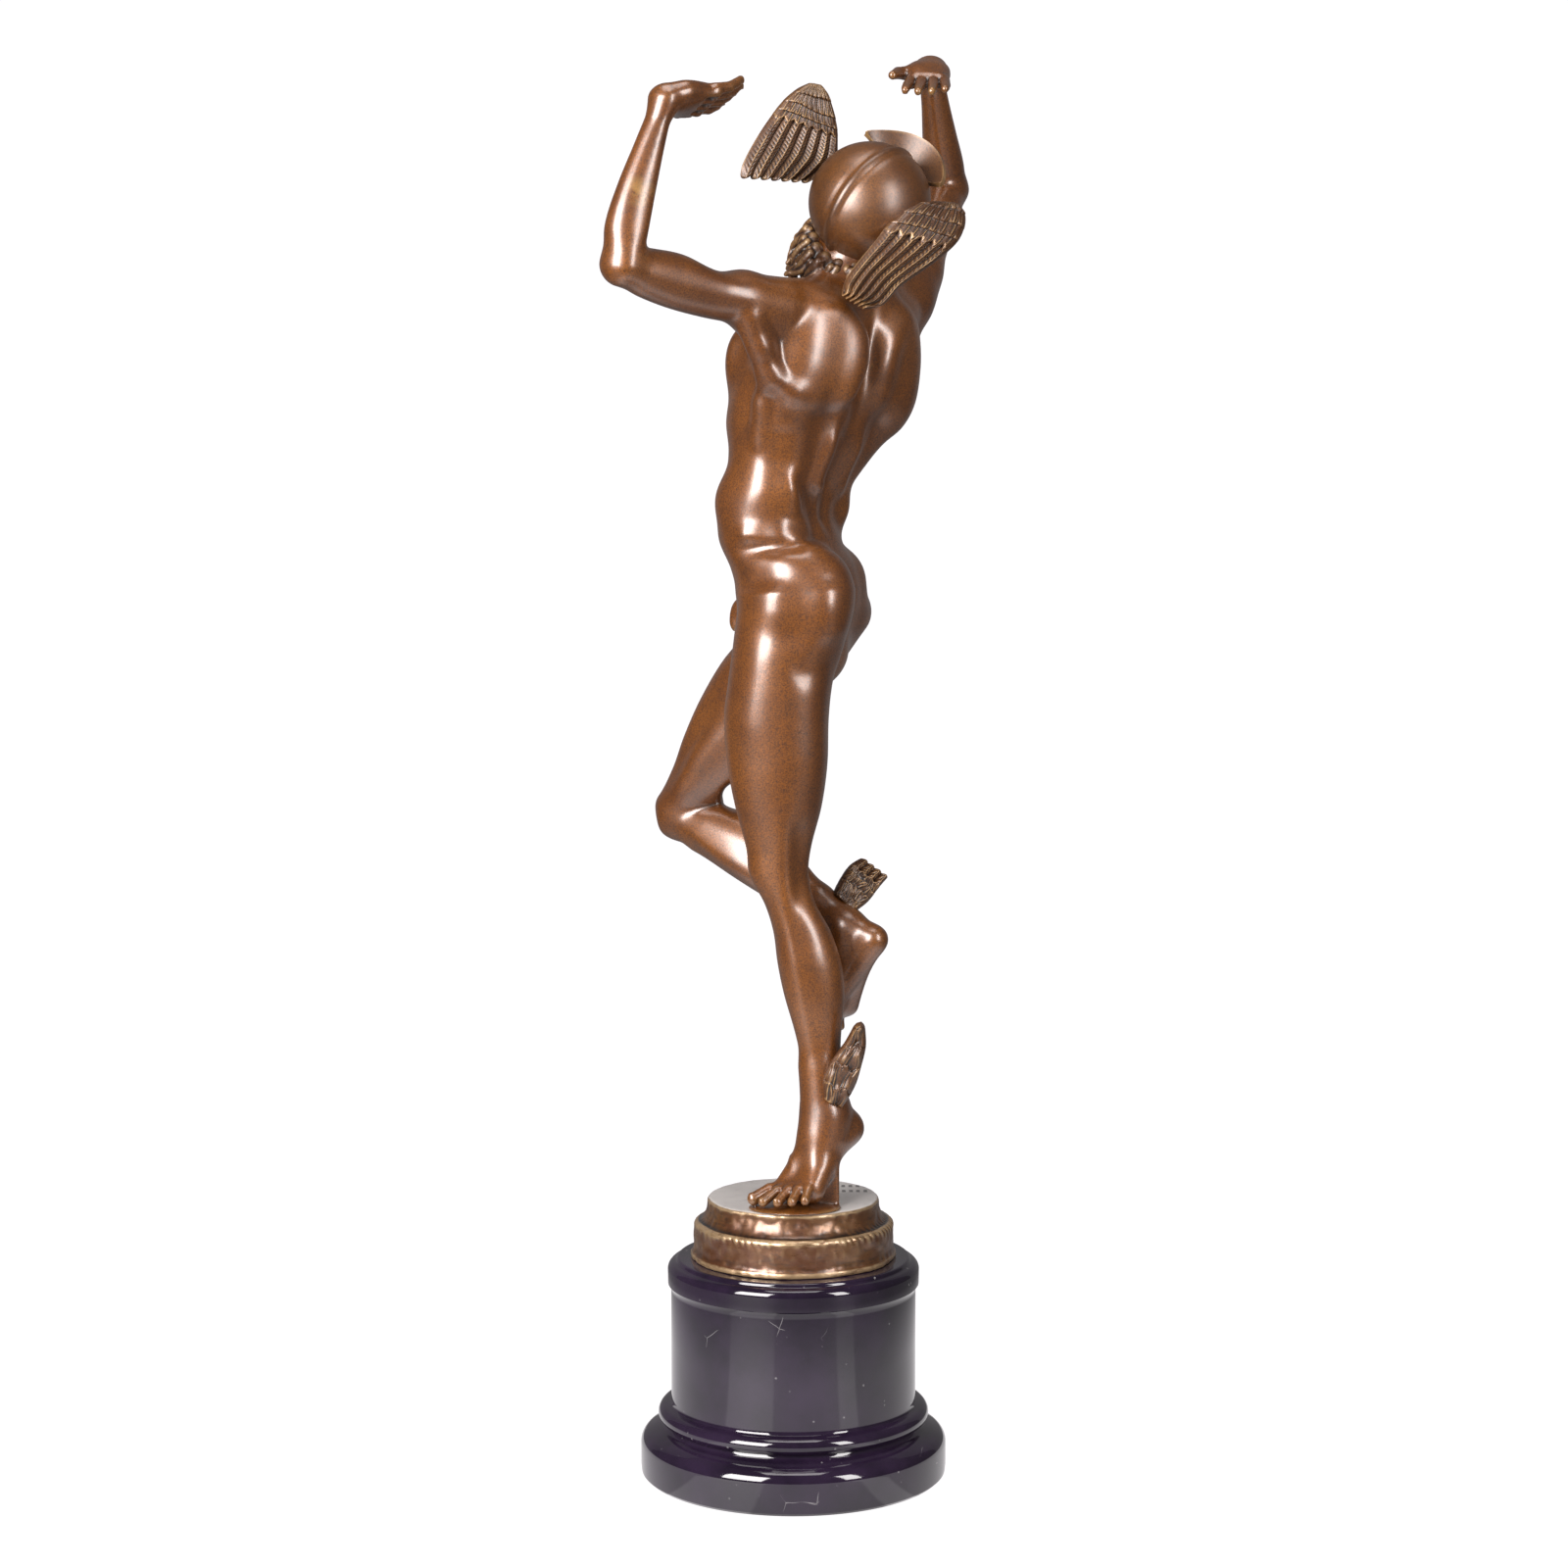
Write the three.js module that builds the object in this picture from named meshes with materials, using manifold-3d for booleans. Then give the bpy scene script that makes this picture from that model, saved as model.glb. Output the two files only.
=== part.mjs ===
// Mercury in cast bronze, poised on the ball of his left foot with both arms raised, on a stepped
// round bronze base and a turned socle of black marble. Millimetres, +Z up. The origin is the
// middle of the socle's underside. The nude figure is seen from behind its left shoulder by
// someone who looks along +Y.
import * as THREE from 'three';
import * as BufferGeometryUtils from 'three/addons/utils/BufferGeometryUtils.js';
import Module from 'manifold-3d';

const wasm = await Module();
wasm.setup();

// Marble socle
const socleHeight = 100;
const socleFootRadius = 70;
const socleFootHeight = 20;
const socleDrumRadius = 56;
const socleBeadRadius = 62;
const socleBeadHeight = 8;
const socleRimRadius = 57.5;
const socleRimHeight = 12;
const socleTopRadius = 53;

// Bronze base
const baseHeight = 27.2;
const baseDrumRadius = 46;
const baseDrumHeight = 19;
const baseTopRadius = 41;
const seatGap = 0.3;

// Bronze figure: every length and place below it is given in units of a hundredth of its stature
const stature = 490;
const unit = stature / 100;
const groundLevel = socleHeight + baseHeight + 2 * seatGap;
const gridStep = 0.46;
const figureTriangles = 7300;
const roundSides = 36;

const V = (x, y, z) => new THREE.Vector3(x, y, z);
const along = (a, b, share) => a.clone().lerp(b, share);
const moved = (point, ...steps) => {
  const end = point.clone();
  for (const [direction, length] of steps) end.addScaledVector(direction, length);
  return end;
};

// A frame of the body: where it is, which way is left, front and up, and points given in it
class Frame {
  constructor(origin, front, up) {
    this.origin = origin;
    this.up = up.clone().normalize();
    this.front = front.clone().addScaledVector(this.up, -front.dot(this.up)).normalize();
    this.left = this.up.clone().cross(this.front);
  }

  at(left, front, up) {
    return moved(this.origin, [this.left, left], [this.front, front], [this.up, up]);
  }

  way(left, front, up) {
    return V(0, 0, 0).addScaledVector(this.left, left).addScaledVector(this.front, front)
      .addScaledVector(this.up, up).normalize();
  }
}

// The clay: lumps that flow into each other over a blend width, and cuts that take clay away.
// Each has a signed distance, negative inside.
const clay = [];

function addLump(centre, reach, blend, distance, cut = false) {
  clay.push({ centre, reach, blend, distance, cut });
}

// A limb with round ends, from radius ra at a to radius rb at b
function limb(a, b, ra, rb, blend = 1, cut = false) {
  const axis = b.clone().sub(a);
  const l2 = axis.lengthSq();
  const rr = ra - rb;
  const a2 = l2 - rr * rr;
  const centre = along(a, b, 0.5);
  addLump(centre, axis.length() / 2 + Math.max(ra, rb), blend, (x, y, z) => {
    const px = x - a.x;
    const py = y - a.y;
    const pz = z - a.z;
    const h = px * axis.x + py * axis.y + pz * axis.z;
    const d = h - l2;
    const cx = px * l2 - axis.x * h;
    const cy = py * l2 - axis.y * h;
    const cz = pz * l2 - axis.z * h;
    const x2 = cx * cx + cy * cy + cz * cz;
    const y2 = h * h * l2;
    const z2 = d * d * l2;
    const k = Math.sign(rr) * rr * rr * x2;
    if (Math.sign(d) * a2 * z2 > k) return Math.sqrt(x2 + z2) / l2 - rb;
    if (Math.sign(h) * a2 * y2 < k) return Math.sqrt(x2 + y2) / l2 - ra;
    return (Math.sqrt(x2 * a2 / l2) + h * rr) / l2 - ra;
  }, cut);
}

// An ellipsoid in a frame's directions, with a half-size for each of left, front and up
function egg(frame, centre, sizes, blend = 1, cut = false) {
  const [sl, sf, su] = sizes;
  const { left, front, up } = frame;
  addLump(centre, Math.max(sl, sf, su), blend, (x, y, z) => {
    const px = x - centre.x;
    const py = y - centre.y;
    const pz = z - centre.z;
    const l = (px * left.x + py * left.y + pz * left.z) / sl;
    const f = (px * front.x + py * front.y + pz * front.z) / sf;
    const u = (px * up.x + py * up.y + pz * up.z) / su;
    const k0 = Math.hypot(l, f, u);
    const k1 = Math.hypot(l / sl, f / sf, u / su);
    return k1 > 0 ? k0 * (k0 - 1) / k1 : -Math.min(sl, sf, su);
  }, cut);
}

// A block with rounded edges in a frame's directions
function block(frame, centre, sizes, rounding, blend = 1, cut = false) {
  const [sl, sf, su] = sizes.map((size) => size - rounding);
  const { left, front, up } = frame;
  addLump(centre, Math.hypot(...sizes), blend, (x, y, z) => {
    const px = x - centre.x;
    const py = y - centre.y;
    const pz = z - centre.z;
    const l = Math.abs(px * left.x + py * left.y + pz * left.z) - sl;
    const f = Math.abs(px * front.x + py * front.y + pz * front.z) - sf;
    const u = Math.abs(px * up.x + py * up.y + pz * up.z) - su;
    const outside = Math.hypot(Math.max(l, 0), Math.max(f, 0), Math.max(u, 0));
    return outside + Math.min(Math.max(l, f, u), 0) - rounding;
  }, cut);
}

// A value between the rows of a profile, whose first column is the place, as a smooth curve
function eased(rows, column, place) {
  let n = 0;
  while (n < rows.length - 2 && rows[n + 1][0] < place) n += 1;
  const [p0, p1, p2, p3] = [n - 1, n, n + 1, n + 2]
    .map((m) => rows[Math.min(Math.max(m, 0), rows.length - 1)]);
  const width = p2[0] - p1[0];
  const t = Math.min(Math.max((place - p1[0]) / width, 0), 1);
  const slope1 = p1 === p0 ? 0 : (p2[column] - p0[column]) / (p2[0] - p0[0]) * width;
  const slope2 = p2 === p3 ? 0 : (p3[column] - p1[column]) / (p3[0] - p1[0]) * width;
  const rise = p2[column] - p1[column];
  return p1[column] + t * (slope1 + t * (3 * rise - 2 * slope1 - slope2 + t * (slope1 + slope2 - 2 * rise)));
}

// A rounded section's distance: its half-widths are to the left, right, front and back
const sectionDistance = (l, f, over, widths, cap) => {
  const wl = l > 0 ? widths[0] : widths[1];
  const wf = f > 0 ? widths[2] : widths[3];
  const k0 = Math.hypot(l / wl, f / wf, over / cap);
  if (k0 < 0.05) return -Math.min(wl, wf);
  const k1 = Math.hypot(l / (wl * wl), f / (wf * wf), over / (cap * cap));
  return k0 * (k0 - 1) / k1;
};

// A limb lofted from a to b. Each row has a share of the length, then half-widths to the outside,
// inside, front and back; side is 1 where the outside is on the left.
function loft(a, b, front, side, rows, blend = 1, capShare = 0.9) {
  const length = a.distanceTo(b);
  const frame = new Frame(a, front, a.clone().sub(b));
  const tables = Array.from({ length: 65 }, (_, n) => [1, 2, 3, 4].map((c) => eased(rows, c, n / 64)));
  const widest = Math.max(...tables.flat());
  const { left, front: ahead, up } = frame;
  const widths = [0, 0, 0, 0];
  addLump(along(a, b, 0.5), length / 2 + widest, blend, (x, y, z) => {
    const px = x - a.x;
    const py = y - a.y;
    const pz = z - a.z;
    const l = (px * left.x + py * left.y + pz * left.z) * side;
    const f = px * ahead.x + py * ahead.y + pz * ahead.z;
    const h = -(px * up.x + py * up.y + pz * up.z);
    const place = Math.min(Math.max(h / length, 0), 1) * 64;
    const n = Math.min(Math.floor(place), 63);
    for (let c = 0; c < 4; c += 1) {
      widths[c] = tables[n][c] + (tables[n + 1][c] - tables[n][c]) * (place - n);
    }
    const over = h < 0 ? -h : Math.max(h - length, 0);
    return sectionDistance(l, f, over, widths, capShare * Math.min(...widths));
  });
}

// The trunk: level sections up the spine. Each row has the height, the middle's x and y, the way
// the body faces in degrees from +X, and the half-widths to the left, right, front and back.
function trunk(rows, blend = 1) {
  const [low, high] = [rows[0][0], rows[rows.length - 1][0]];
  const steps = 200;
  const table = Array.from({ length: steps + 1 }, (_, n) => {
    const height = low + (high - low) * n / steps;
    return [1, 2, 3, 4, 5, 6, 7].map((c) => eased(rows, c, height));
  });
  const widths = [0, 0, 0, 0];
  addLump(V(2, 0, (low + high) / 2), (high - low) / 2 + 9, blend, (x, y, z) => {
    const place = Math.min(Math.max((z - low) / (high - low), 0), 1) * steps;
    const n = Math.min(Math.floor(place), steps - 1);
    const now = table[n];
    const next = table[n + 1];
    const mix = (c) => now[c] + (next[c] - now[c]) * (place - n);
    const turn = mix(2) * Math.PI / 180;
    const [dx, dy] = [x - mix(0), y - mix(1)];
    const f = dx * Math.cos(turn) + dy * Math.sin(turn);
    const l = -dx * Math.sin(turn) + dy * Math.cos(turn);
    for (let c = 0; c < 4; c += 1) widths[c] = mix(3 + c);
    return sectionDistance(l, f, z < low ? low - z : Math.max(z - high, 0), widths, 4);
  });
}

// Pose: the joints of the figure, from the middle of the base's top
const hipL = V(-0.61, -4.29, 55.98);
const hipR = V(3.59, 4.29, 54.81);
const kneeL = V(-1.32, -3.88, 30.54);
const kneeR = V(-10.8, 11.84, 34.7);
const ankleL = V(3, -3.06, 8.46);
const ankleR = V(5, 1.8, 24.9);
const shoulderL = V(-1.8, -7.6, 81.7);
const shoulderR = V(10.3, 7.6, 83.4);
const elbowL = V(-14.7, -17.1, 84.6);
const elbowR = V(15, 20.5, 94.63);
const wristL = V(-11.2, -16.3, 98);
const wristR = V(12.9, 12.5, 105.1);
const neckRoot = V(5.53, 0, 83.24);
const pelvis = new Frame(V(1.2, 0, 58.6), V(-0.883, 0.469, 0), V(0.07, 0.14, 1));
const waist = new Frame(V(-0.6, 0, 65.5), V(-0.86, 0.5, 0), V(0.1, 0, 1));
const chest = new Frame(V(2.5, 0, 75.7), V(-0.72, 0.69, 0), V(0.14, 0, 1));
const head = new Frame(V(6.72, -1.63, 91.35), V(0.7, 0.62, 0.35), V(0.0965, -0.567, 0.811));
const footFront = V(-0.82, -0.57, 0);

function torso() {
  trunk([
    [51, 0.8, 0.3, 152, 5.6, 5.2, 4, 4],
    [55.5, 0.6, 0, 152, 7.2, 6.6, 5, 4.8],
    [58.4, 0, 0, 152, 7.3, 6.8, 5.2, 4.9],
    [61, -0.9, 0, 151, 7.1, 7, 5.5, 4.7],
    [63.7, -1.2, 0, 150, 6.8, 6.8, 5.2, 4.3],
    [66.4, -0.5, 0, 147, 6.9, 6.8, 5.1, 4.4],
    [69.1, 0.4, 0, 143, 7.4, 7.4, 5.6, 5],
    [71.7, 1.1, 0, 139, 8, 8, 6.1, 5.5],
    [74.4, 1.9, 0, 136, 8.3, 8.4, 6.4, 5.8],
    [77, 2.4, 0, 135, 8.3, 8.5, 6.5, 5.8],
    [79.7, 3.3, 0, 134, 7.9, 8, 5.8, 5.4],
    [82, 4.4, 0, 134, 6.6, 6.6, 4.6, 4.6],
    [84, 5.2, 0, 134, 4.2, 4.2, 3.2, 3.6],
  ], 1);
  for (const side of [1, -1]) {
    const shoulder = side > 0 ? shoulderL : shoulderR;
    const elbow = side > 0 ? elbowL : elbowR;
    // Chest, the bundle from the armpit down to the flank, and the shoulder blade over it
    egg(chest, chest.at(side * 3.9, 4.8, 1.4), [3.8, 1.9, 3], 1.4);
    limb(chest.at(side * 6.4, -2.2, -2), along(shoulder, elbow, 0.2), 2.2, 1.6, 1.2);
    limb(chest.at(side * 6.3, -2.4, -1), waist.at(side * 4.4, -2, 1), 2.3, 1.5, 1.4);
    limb(chest.at(side * 4.2, -3, 5.4), shoulder, 2.2, 2.2, 1.8);
    limb(moved(neckRoot, [chest.up, 0.4]), moved(shoulder, [chest.up, 0.6]), 1.8, 1.3, 1.8);
    egg(chest, chest.at(side * 4.9, -4.5, 2.4), [2.8, 1.8, 3.8], 1.1);
    limb(chest.at(side * 4.8, -4.4, -0.8), chest.at(side * 7.4, -2.8, 4.8), 1.4, 1.6, 1.2);
    // Columns of muscle beside the spine
    limb(chest.at(side * 2.1, -4, 5), chest.at(side * 2.2, -4.1, -3), 1.9, 2, 1.6);
    limb(chest.at(side * 2.2, -4.1, -3), waist.at(side * 2.2, -2.9, 0), 2, 1.9, 1.6);
    limb(waist.at(side * 2.2, -2.9, 0), pelvis.at(side * 1.7, -3.4, 1), 1.9, 1.5, 1.6);
    // The roll of the flank over the hip bone
    egg(waist, waist.at(side * 4.7, 0.2, -1.2), [2, 4, 2.8], 1.2);
  }
  egg(pelvis, pelvis.at(3.9, -2.6, -3.3), [3.8, 4.1, 4.7], 1.2);
  egg(pelvis, pelvis.at(-2.8, -0.5, -1.9), [3.4, 3.2, 3.8], 1.2);
  egg(pelvis, pelvis.at(5.4, -0.6, -0.8), [2.3, 3.4, 3.2], 1);
  egg(pelvis, pelvis.at(-5, -0.4, -0.9), [2.1, 3, 3.2], 1);
  // The furrow of the spine, the cleft, and the crease over the hip bone that bears the weight
  const furrow = [chest.at(0, -6.6, 6), chest.at(0, -6.6, -1), chest.at(0, -6.3, -5),
    waist.at(0, -5.2, -1), pelvis.at(0, -5.5, 0.5)];
  for (let n = 0; n < furrow.length - 1; n += 1) limb(furrow[n], furrow[n + 1], 0.7, 0.7, 1.6, true);
  limb(pelvis.at(0, -7, -1), pelvis.at(0, -6, -7.6), 0.3, 0.6, 1, true);
  const crease = [pelvis.at(6.6, 3.8, 0.4), pelvis.at(7.9, 0.4, 1.6), pelvis.at(6.5, -3.6, 2.2)];
  limb(crease[0], crease[1], 0.2, 0.4, 0.9, true);
  limb(crease[1], crease[2], 0.4, 0.2, 0.9, true);
}

// A leg: seat is the half-width of the thigh's root to the back
function leg(side, hip, knee, ankle, front, shinFront, seat) {
  loft(hip, knee, front, side, [
    [0, 4.6, 4.2, 4.4, seat],
    [0.15, 4.6, 4.6, 4.7, seat + 0.2],
    [0.3, 4.5, 4.3, 5.1, 4.4],
    [0.43, 4.3, 4, 5.4, 4.1],
    [0.6, 4, 3.6, 5, 4.1],
    [0.75, 3.4, 3.2, 4.2, 3.7],
    [0.88, 2.8, 2.8, 3.2, 2.8],
    [1, 2.4, 2.5, 2.7, 2.6],
  ], 1.2, 0.8);
  loft(knee, ankle, shinFront, side, [
    [0, 2.4, 2.5, 2.7, 2.6],
    [0.1, 2.4, 2.5, 2.2, 2.7],
    [0.2, 2.6, 2.8, 1.5, 3.4],
    [0.37, 2.8, 3, 1.7, 4.1],
    [0.5, 2.6, 2.8, 1.7, 3.8],
    [0.66, 2, 2.1, 1.5, 2.9],
    [0.82, 1.5, 1.5, 1.2, 2.1],
    [1, 1.4, 1.5, 1.2, 1.7],
  ], 0.5, 0.8);
}

// A foot: frame has its origin at the ankle; toes bend to the toe frame's directions
function foot(side, frame, toeFrame) {
  const ankle = frame.origin;
  const out = frame.left.clone().multiplyScalar(side);
  const heel = frame.at(0, -0.7, -2.8);
  const ballIn = moved(frame.at(0, 7.9, -3), [out, -1.4]);
  const ballOut = moved(frame.at(0, 6.6, -3.2), [out, 1.8]);
  limb(moved(ankle, [frame.up, 3], [frame.front, -1.1]), heel, 0.8, 1, 1);
  egg(frame, heel, [1.1, 1.1, 1.4], 0.8);
  egg(frame, moved(ankle, [out, 1.3], [frame.up, -0.2]), [0.75, 0.9, 1], 0.7);
  egg(frame, moved(ankle, [out, -1.35], [frame.up, 0.2]), [0.8, 0.9, 1], 0.7);
  limb(ankle, ballIn, 1.5, 1.05, 1.2);
  limb(ankle, ballOut, 1.4, 0.85, 1.2);
  limb(heel, ballOut, 1, 0.8, 1.2);
  limb(heel, ballIn, 0.9, 0.9, 1.2);
  for (let toe = 0; toe < 5; toe += 1) {
    const root = along(ballIn, ballOut, toe / 4);
    const length = [3.2, 3.1, 2.8, 2.5, 2][toe];
    const radius = [0.8, 0.55, 0.52, 0.5, 0.5][toe];
    const knuckle = moved(root, [toeFrame.front, length * 0.5], [toeFrame.up, 0.1]);
    const tip = moved(root, [toeFrame.front, length], [toeFrame.up, radius - 0.95]);
    limb(root, knuckle, radius * 1.2, radius, 0.4);
    limb(knuckle, tip, radius, radius * 0.95, 0.25);
  }
}

// An arm: bow is how far the middle of the forearm bends away from the upper arm's side
function arm(side, shoulder, elbow, wrist, flexor, bow) {
  loft(shoulder, elbow, flexor, side, [
    [0, 2.6, 2.4, 2.6, 2.6],
    [0.2, 2.9, 2.3, 2.7, 2.5],
    [0.45, 2.2, 2.1, 2.5, 2.4],
    [0.65, 2.1, 2.1, 2.6, 2.5],
    [0.85, 2, 2, 2, 2.1],
    [1, 1.9, 2, 1.6, 1.8],
  ], 1.6, 0.9);
  const lower = shoulder.clone().sub(elbow).normalize();
  loft(elbow, wrist, lower, side, [
    [0, 1.8, 1.9, 1.6, 1.7],
    [0.2, 1.9, 2, 1.8 - bow, 1.8 + bow],
    [0.45, 1.6, 1.7, 1.6 - bow, 1.6 + bow],
    [0.75, 1.3, 1.3, 1.2 - bow / 2, 1.2 + bow / 2],
    [1, 1.25, 1.25, 1, 1],
  ], 1, 0.9);
}

// A hand bent back at the wrist: frame.front runs to the fingers and frame.up out of the palm.
// The fingers leave the palm with a slope of rise and bend on to a slope of curl.
function hand(side, wrist, frame, rise, curl) {
  const thumbward = frame.left.clone().multiplyScalar(side);
  block(frame, moved(wrist, [frame.front, 3]), [1.9, 2.1, 0.75], 0.7, 0.8);
  egg(frame, moved(wrist, [frame.front, 1.3], [frame.up, 0.35]), [1.6, 1.5, 1], 0.9);
  egg(frame, moved(wrist, [frame.front, 2.2], [thumbward, 1.2], [frame.up, 0.5]), [0.9, 1.6, 0.8], 0.7);
  const [first, last] = [frame.way(0, 1, rise), frame.way(0, 1, curl)];
  for (let finger = 0; finger < 4; finger += 1) {
    const spread = 1.45 - 0.97 * finger;
    const length = [4.5, 5, 4.6, 3.6][finger];
    const fan = first.clone().addScaledVector(thumbward, 0.05 * (1.5 - finger)).normalize();
    const root = moved(wrist, [frame.front, 4.7], [thumbward, spread]);
    const middle = moved(root, [fan, length * 0.5]);
    const tip = moved(middle, [last, length * 0.42]);
    limb(root, middle, 0.56, 0.47, 0.3);
    limb(middle, tip, 0.47, 0.4, 0.2);
  }
  const thumbRoot = moved(wrist, [frame.front, 2.1], [thumbward, 1.4], [frame.up, 0.2]);
  const thumbMiddle = moved(thumbRoot, [frame.front, 1.6], [thumbward, 1.4], [frame.up, 0.2]);
  const thumbTip = moved(thumbMiddle, [frame.front, 1.7], [thumbward, 0.6], [frame.up, 0.1]);
  limb(thumbRoot, thumbMiddle, 0.75, 0.58, 0.4);
  limb(thumbMiddle, thumbTip, 0.58, 0.45, 0.2);
}

function neckAndFace() {
  limb(neckRoot, head.at(0, -1.6, -3.4), 3.2, 2.9, 1.6);
  egg(head, head.at(0, 0.2, 0), [4, 5, 5], 1);
  egg(head, head.at(0, 1.9, -3.6), [3.1, 3.2, 3.8], 1);
  egg(head, head.at(0, 3.9, -6.1), [1.3, 1.1, 1], 0.8);
  limb(head.at(0, 4.7, -0.2), head.at(0, 5.6, -2.5), 0.5, 0.62, 0.5);
  egg(head, head.at(0, 4.6, 0.6), [2.8, 0.9, 0.7], 0.8);
  egg(head, head.at(0, 4.6, -4.2), [1.2, 0.7, 0.5], 0.5);
  for (const side of [1, -1]) {
    egg(head, head.at(side * 1.7, 4.9, -0.7), [1, 0.5, 0.5], 0.4, true);
    egg(head, head.at(side * 1.7, 4.2, -0.7), [0.8, 0.6, 0.45], 0.2);
    egg(head, head.at(side * 2.4, 3.2, -2.2), [1.2, 1, 1.3], 0.8);
  }
}

// The helmet: a bowl with a raised crest from front to nape, and a turned-up crescent of a brim
function helmet() {
  egg(head, head.at(0, -0.3, 1), [5.6, 5.9, 5.4], 0.3);
  const crest = (turn) => head.at(0, -0.3 + 5.6 * Math.cos(turn), 1 + 5.1 * Math.sin(turn));
  const crestStep = 0.13;
  for (let turn = 0.3; turn < 3.1; turn += crestStep) {
    limb(crest(turn), crest(turn + crestStep), 0.55, 0.55, 0.2);
  }
  const [reach, spread, ribs] = [2.3, 1.05, 26];
  for (let n = 0; n <= ribs; n += 1) {
    const turn = (2 * n / ribs - 1) * spread;
    const width = reach * Math.cos(turn / spread * Math.PI / 2) + 0.2;
    const rib = (out) => head.at(out * Math.sin(turn), out * Math.cos(turn), 1.8 + (out - 5.3) * 1.2);
    limb(rib(5), rib(5.2 + width), 0.45, 0.4, 0.3);
  }
}

// Locks of hair under the helmet's edge
function hair() {
  for (let row = 0; row < 2; row += 1) {
    for (let lock = 0; lock < 13; lock += 1) {
      const turn = (72 + 18 * lock + 9 * row) * Math.PI / 180;
      const out = 5.2 - 0.7 * row;
      const spot = head.at(out * Math.sin(turn), -0.4 + out * Math.cos(turn), -2.1 - 1.5 * row);
      egg(head, spot, [1.05, 1.05, 1.5], 0.4);
    }
  }
}

// A wing: feathers side by side, which run from its arm, root to shoulder, back to the ends that
// lie between its tip and the rear of its root. Bow bends the first ones outwards.
function wing(root, shoulder, tip, rear, feathers, thick, bow = 0) {
  const face = shoulder.clone().sub(root).cross(tip.clone().sub(shoulder)).normalize();
  const outwards = shoulder.clone().sub(root).add(tip.clone().sub(rear)).normalize();
  const spacing = shoulder.distanceTo(root) / feathers;
  for (let n = 0; n < feathers; n += 1) {
    const share = n / (feathers - 1);
    const start = along(shoulder, root, share);
    const end = along(tip, rear, share ** 0.8);
    const middle = moved(along(start, end, 0.45), [outwards, bow * (1 - share)]);
    const length = start.distanceTo(end);
    const width = Math.max(spacing, length * 0.08);
    for (const [a, b] of [[start, middle], [middle, end]]) {
      const frame = new Frame(a, face, b.clone().sub(a));
      egg(frame, along(a, b, 0.5), [width, thick, a.distanceTo(b) * 0.62], 0.3);
    }
    const frame = new Frame(start, face, end.clone().sub(start));
    egg(frame, along(start, middle, 0.4), [spacing, thick * 1.6, length * 0.26], 0.3);
  }
  const arm = new Frame(root, face, shoulder.clone().sub(root));
  const armHalf = shoulder.distanceTo(root) / 2;
  egg(arm, along(root, shoulder, 0.5), [1.1, thick * 1.5, armHalf + 0.6], 0.4);
}

function wings() {
  wing(V(3.7, 1.6, 95.6), V(2.1, 0.5, 101), V(-4.2, -2.2, 93.8), V(2.2, 0.7, 93.7), 8, 0.6, 2.2);
  wing(V(14.2, -4.9, 87.6), V(12.2, -5.3, 90), V(5.1, -7.4, 83.7), V(7.6, -7.2, 82.6), 7, 0.7, 0);
  wing(V(3.9, -4.9, 10.4), V(5.3, -5.4, 10.4), V(6.2, -5.3, 16.6), V(4.5, -4.6, 13.8), 4, 0.6);
  wing(V(5.2, 3.2, 27.2), V(6.8, 3.5, 27.2), V(8.2, 4.1, 30.4), V(5.9, 3.6, 30.8), 4, 0.6);
}

// The prop under the arch and the thin oval plate that foot and prop are cast with
function propAndPlate() {
  const upright = new Frame(V(0, 0, 0), V(0, 1, 0), V(0, 0, 1));
  block(upright, V(3, -3.9, 2.6), [1.1, 0.9, 2.8], 0.3, 0.3);
  egg(upright, V(-0.3, -5, 0), [4.7, 2.7, 0.4], 0.2);
}

function figureClay() {
  clay.length = 0;
  torso();
  // The raised leg comes first, so that the hollow behind its knee cuts that leg alone
  leg(-1, hipR, kneeR, ankleR, V(-0.89, 0.44, 0.6), V(-0.39, 0.14, -0.89), 4.3);
  limb(moved(along(kneeR, ankleR, 0.16), [V(-0.4, 0, -0.9), 0.8]),
    moved(along(kneeR, ankleR, 0.6), [V(-0.4, 0, -0.9), 0.6]), 1.5, 1.2, 1);
  limb(V(-6.3, 12.5, 36.8), V(-5.5, 6, 36.4), 1.3, 1.6, 0.8, true);
  leg(1, hipL, kneeL, ankleL, V(-0.95, 0.15, 0), V(-0.98, -0.15, 0), 5.2);
  const onGround = new Frame(V(0, 0, 0), footFront, V(0, 0, 1));
  foot(1, new Frame(ankleL, V(-0.62, -0.43, -0.66), V(-0.54, -0.37, 0.755)), onGround);
  const hanging = new Frame(ankleR, V(-0.47, 0.2, -0.86), V(-0.77, 0.47, 0.43));
  foot(-1, hanging, hanging);
  arm(1, shoulderL, elbowL, wristL, V(0.2, 0.1, 1), 0.6);
  arm(-1, shoulderR, elbowR, wristR, V(-0.1, -0.8, 0.6), 0);
  hand(1, wristL, new Frame(wristL, V(0.57, 0.68, 0.4), V(-0.4, 0.2, 0.9)), 0.1, 0.6);
  hand(-1, wristR, new Frame(wristR, V(-0.1, -0.93, -0.35), V(0, -0.3, 0.95)), 0.05, 0.35);
  neckAndFace();
  helmet();
  hair();
  wings();
  propAndPlate();
}

// One distance joined to the next: flowing into it, or cutting it away
function joined(d, e, blend, cut) {
  if (cut) {
    const h = Math.max(blend - Math.abs(d + e), 0) / blend;
    return Math.max(d, -e) + h * h * blend / 4;
  }
  const h = Math.max(blend - Math.abs(d - e), 0) / blend;
  return Math.min(d, e) - h * h * blend / 4;
}

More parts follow.
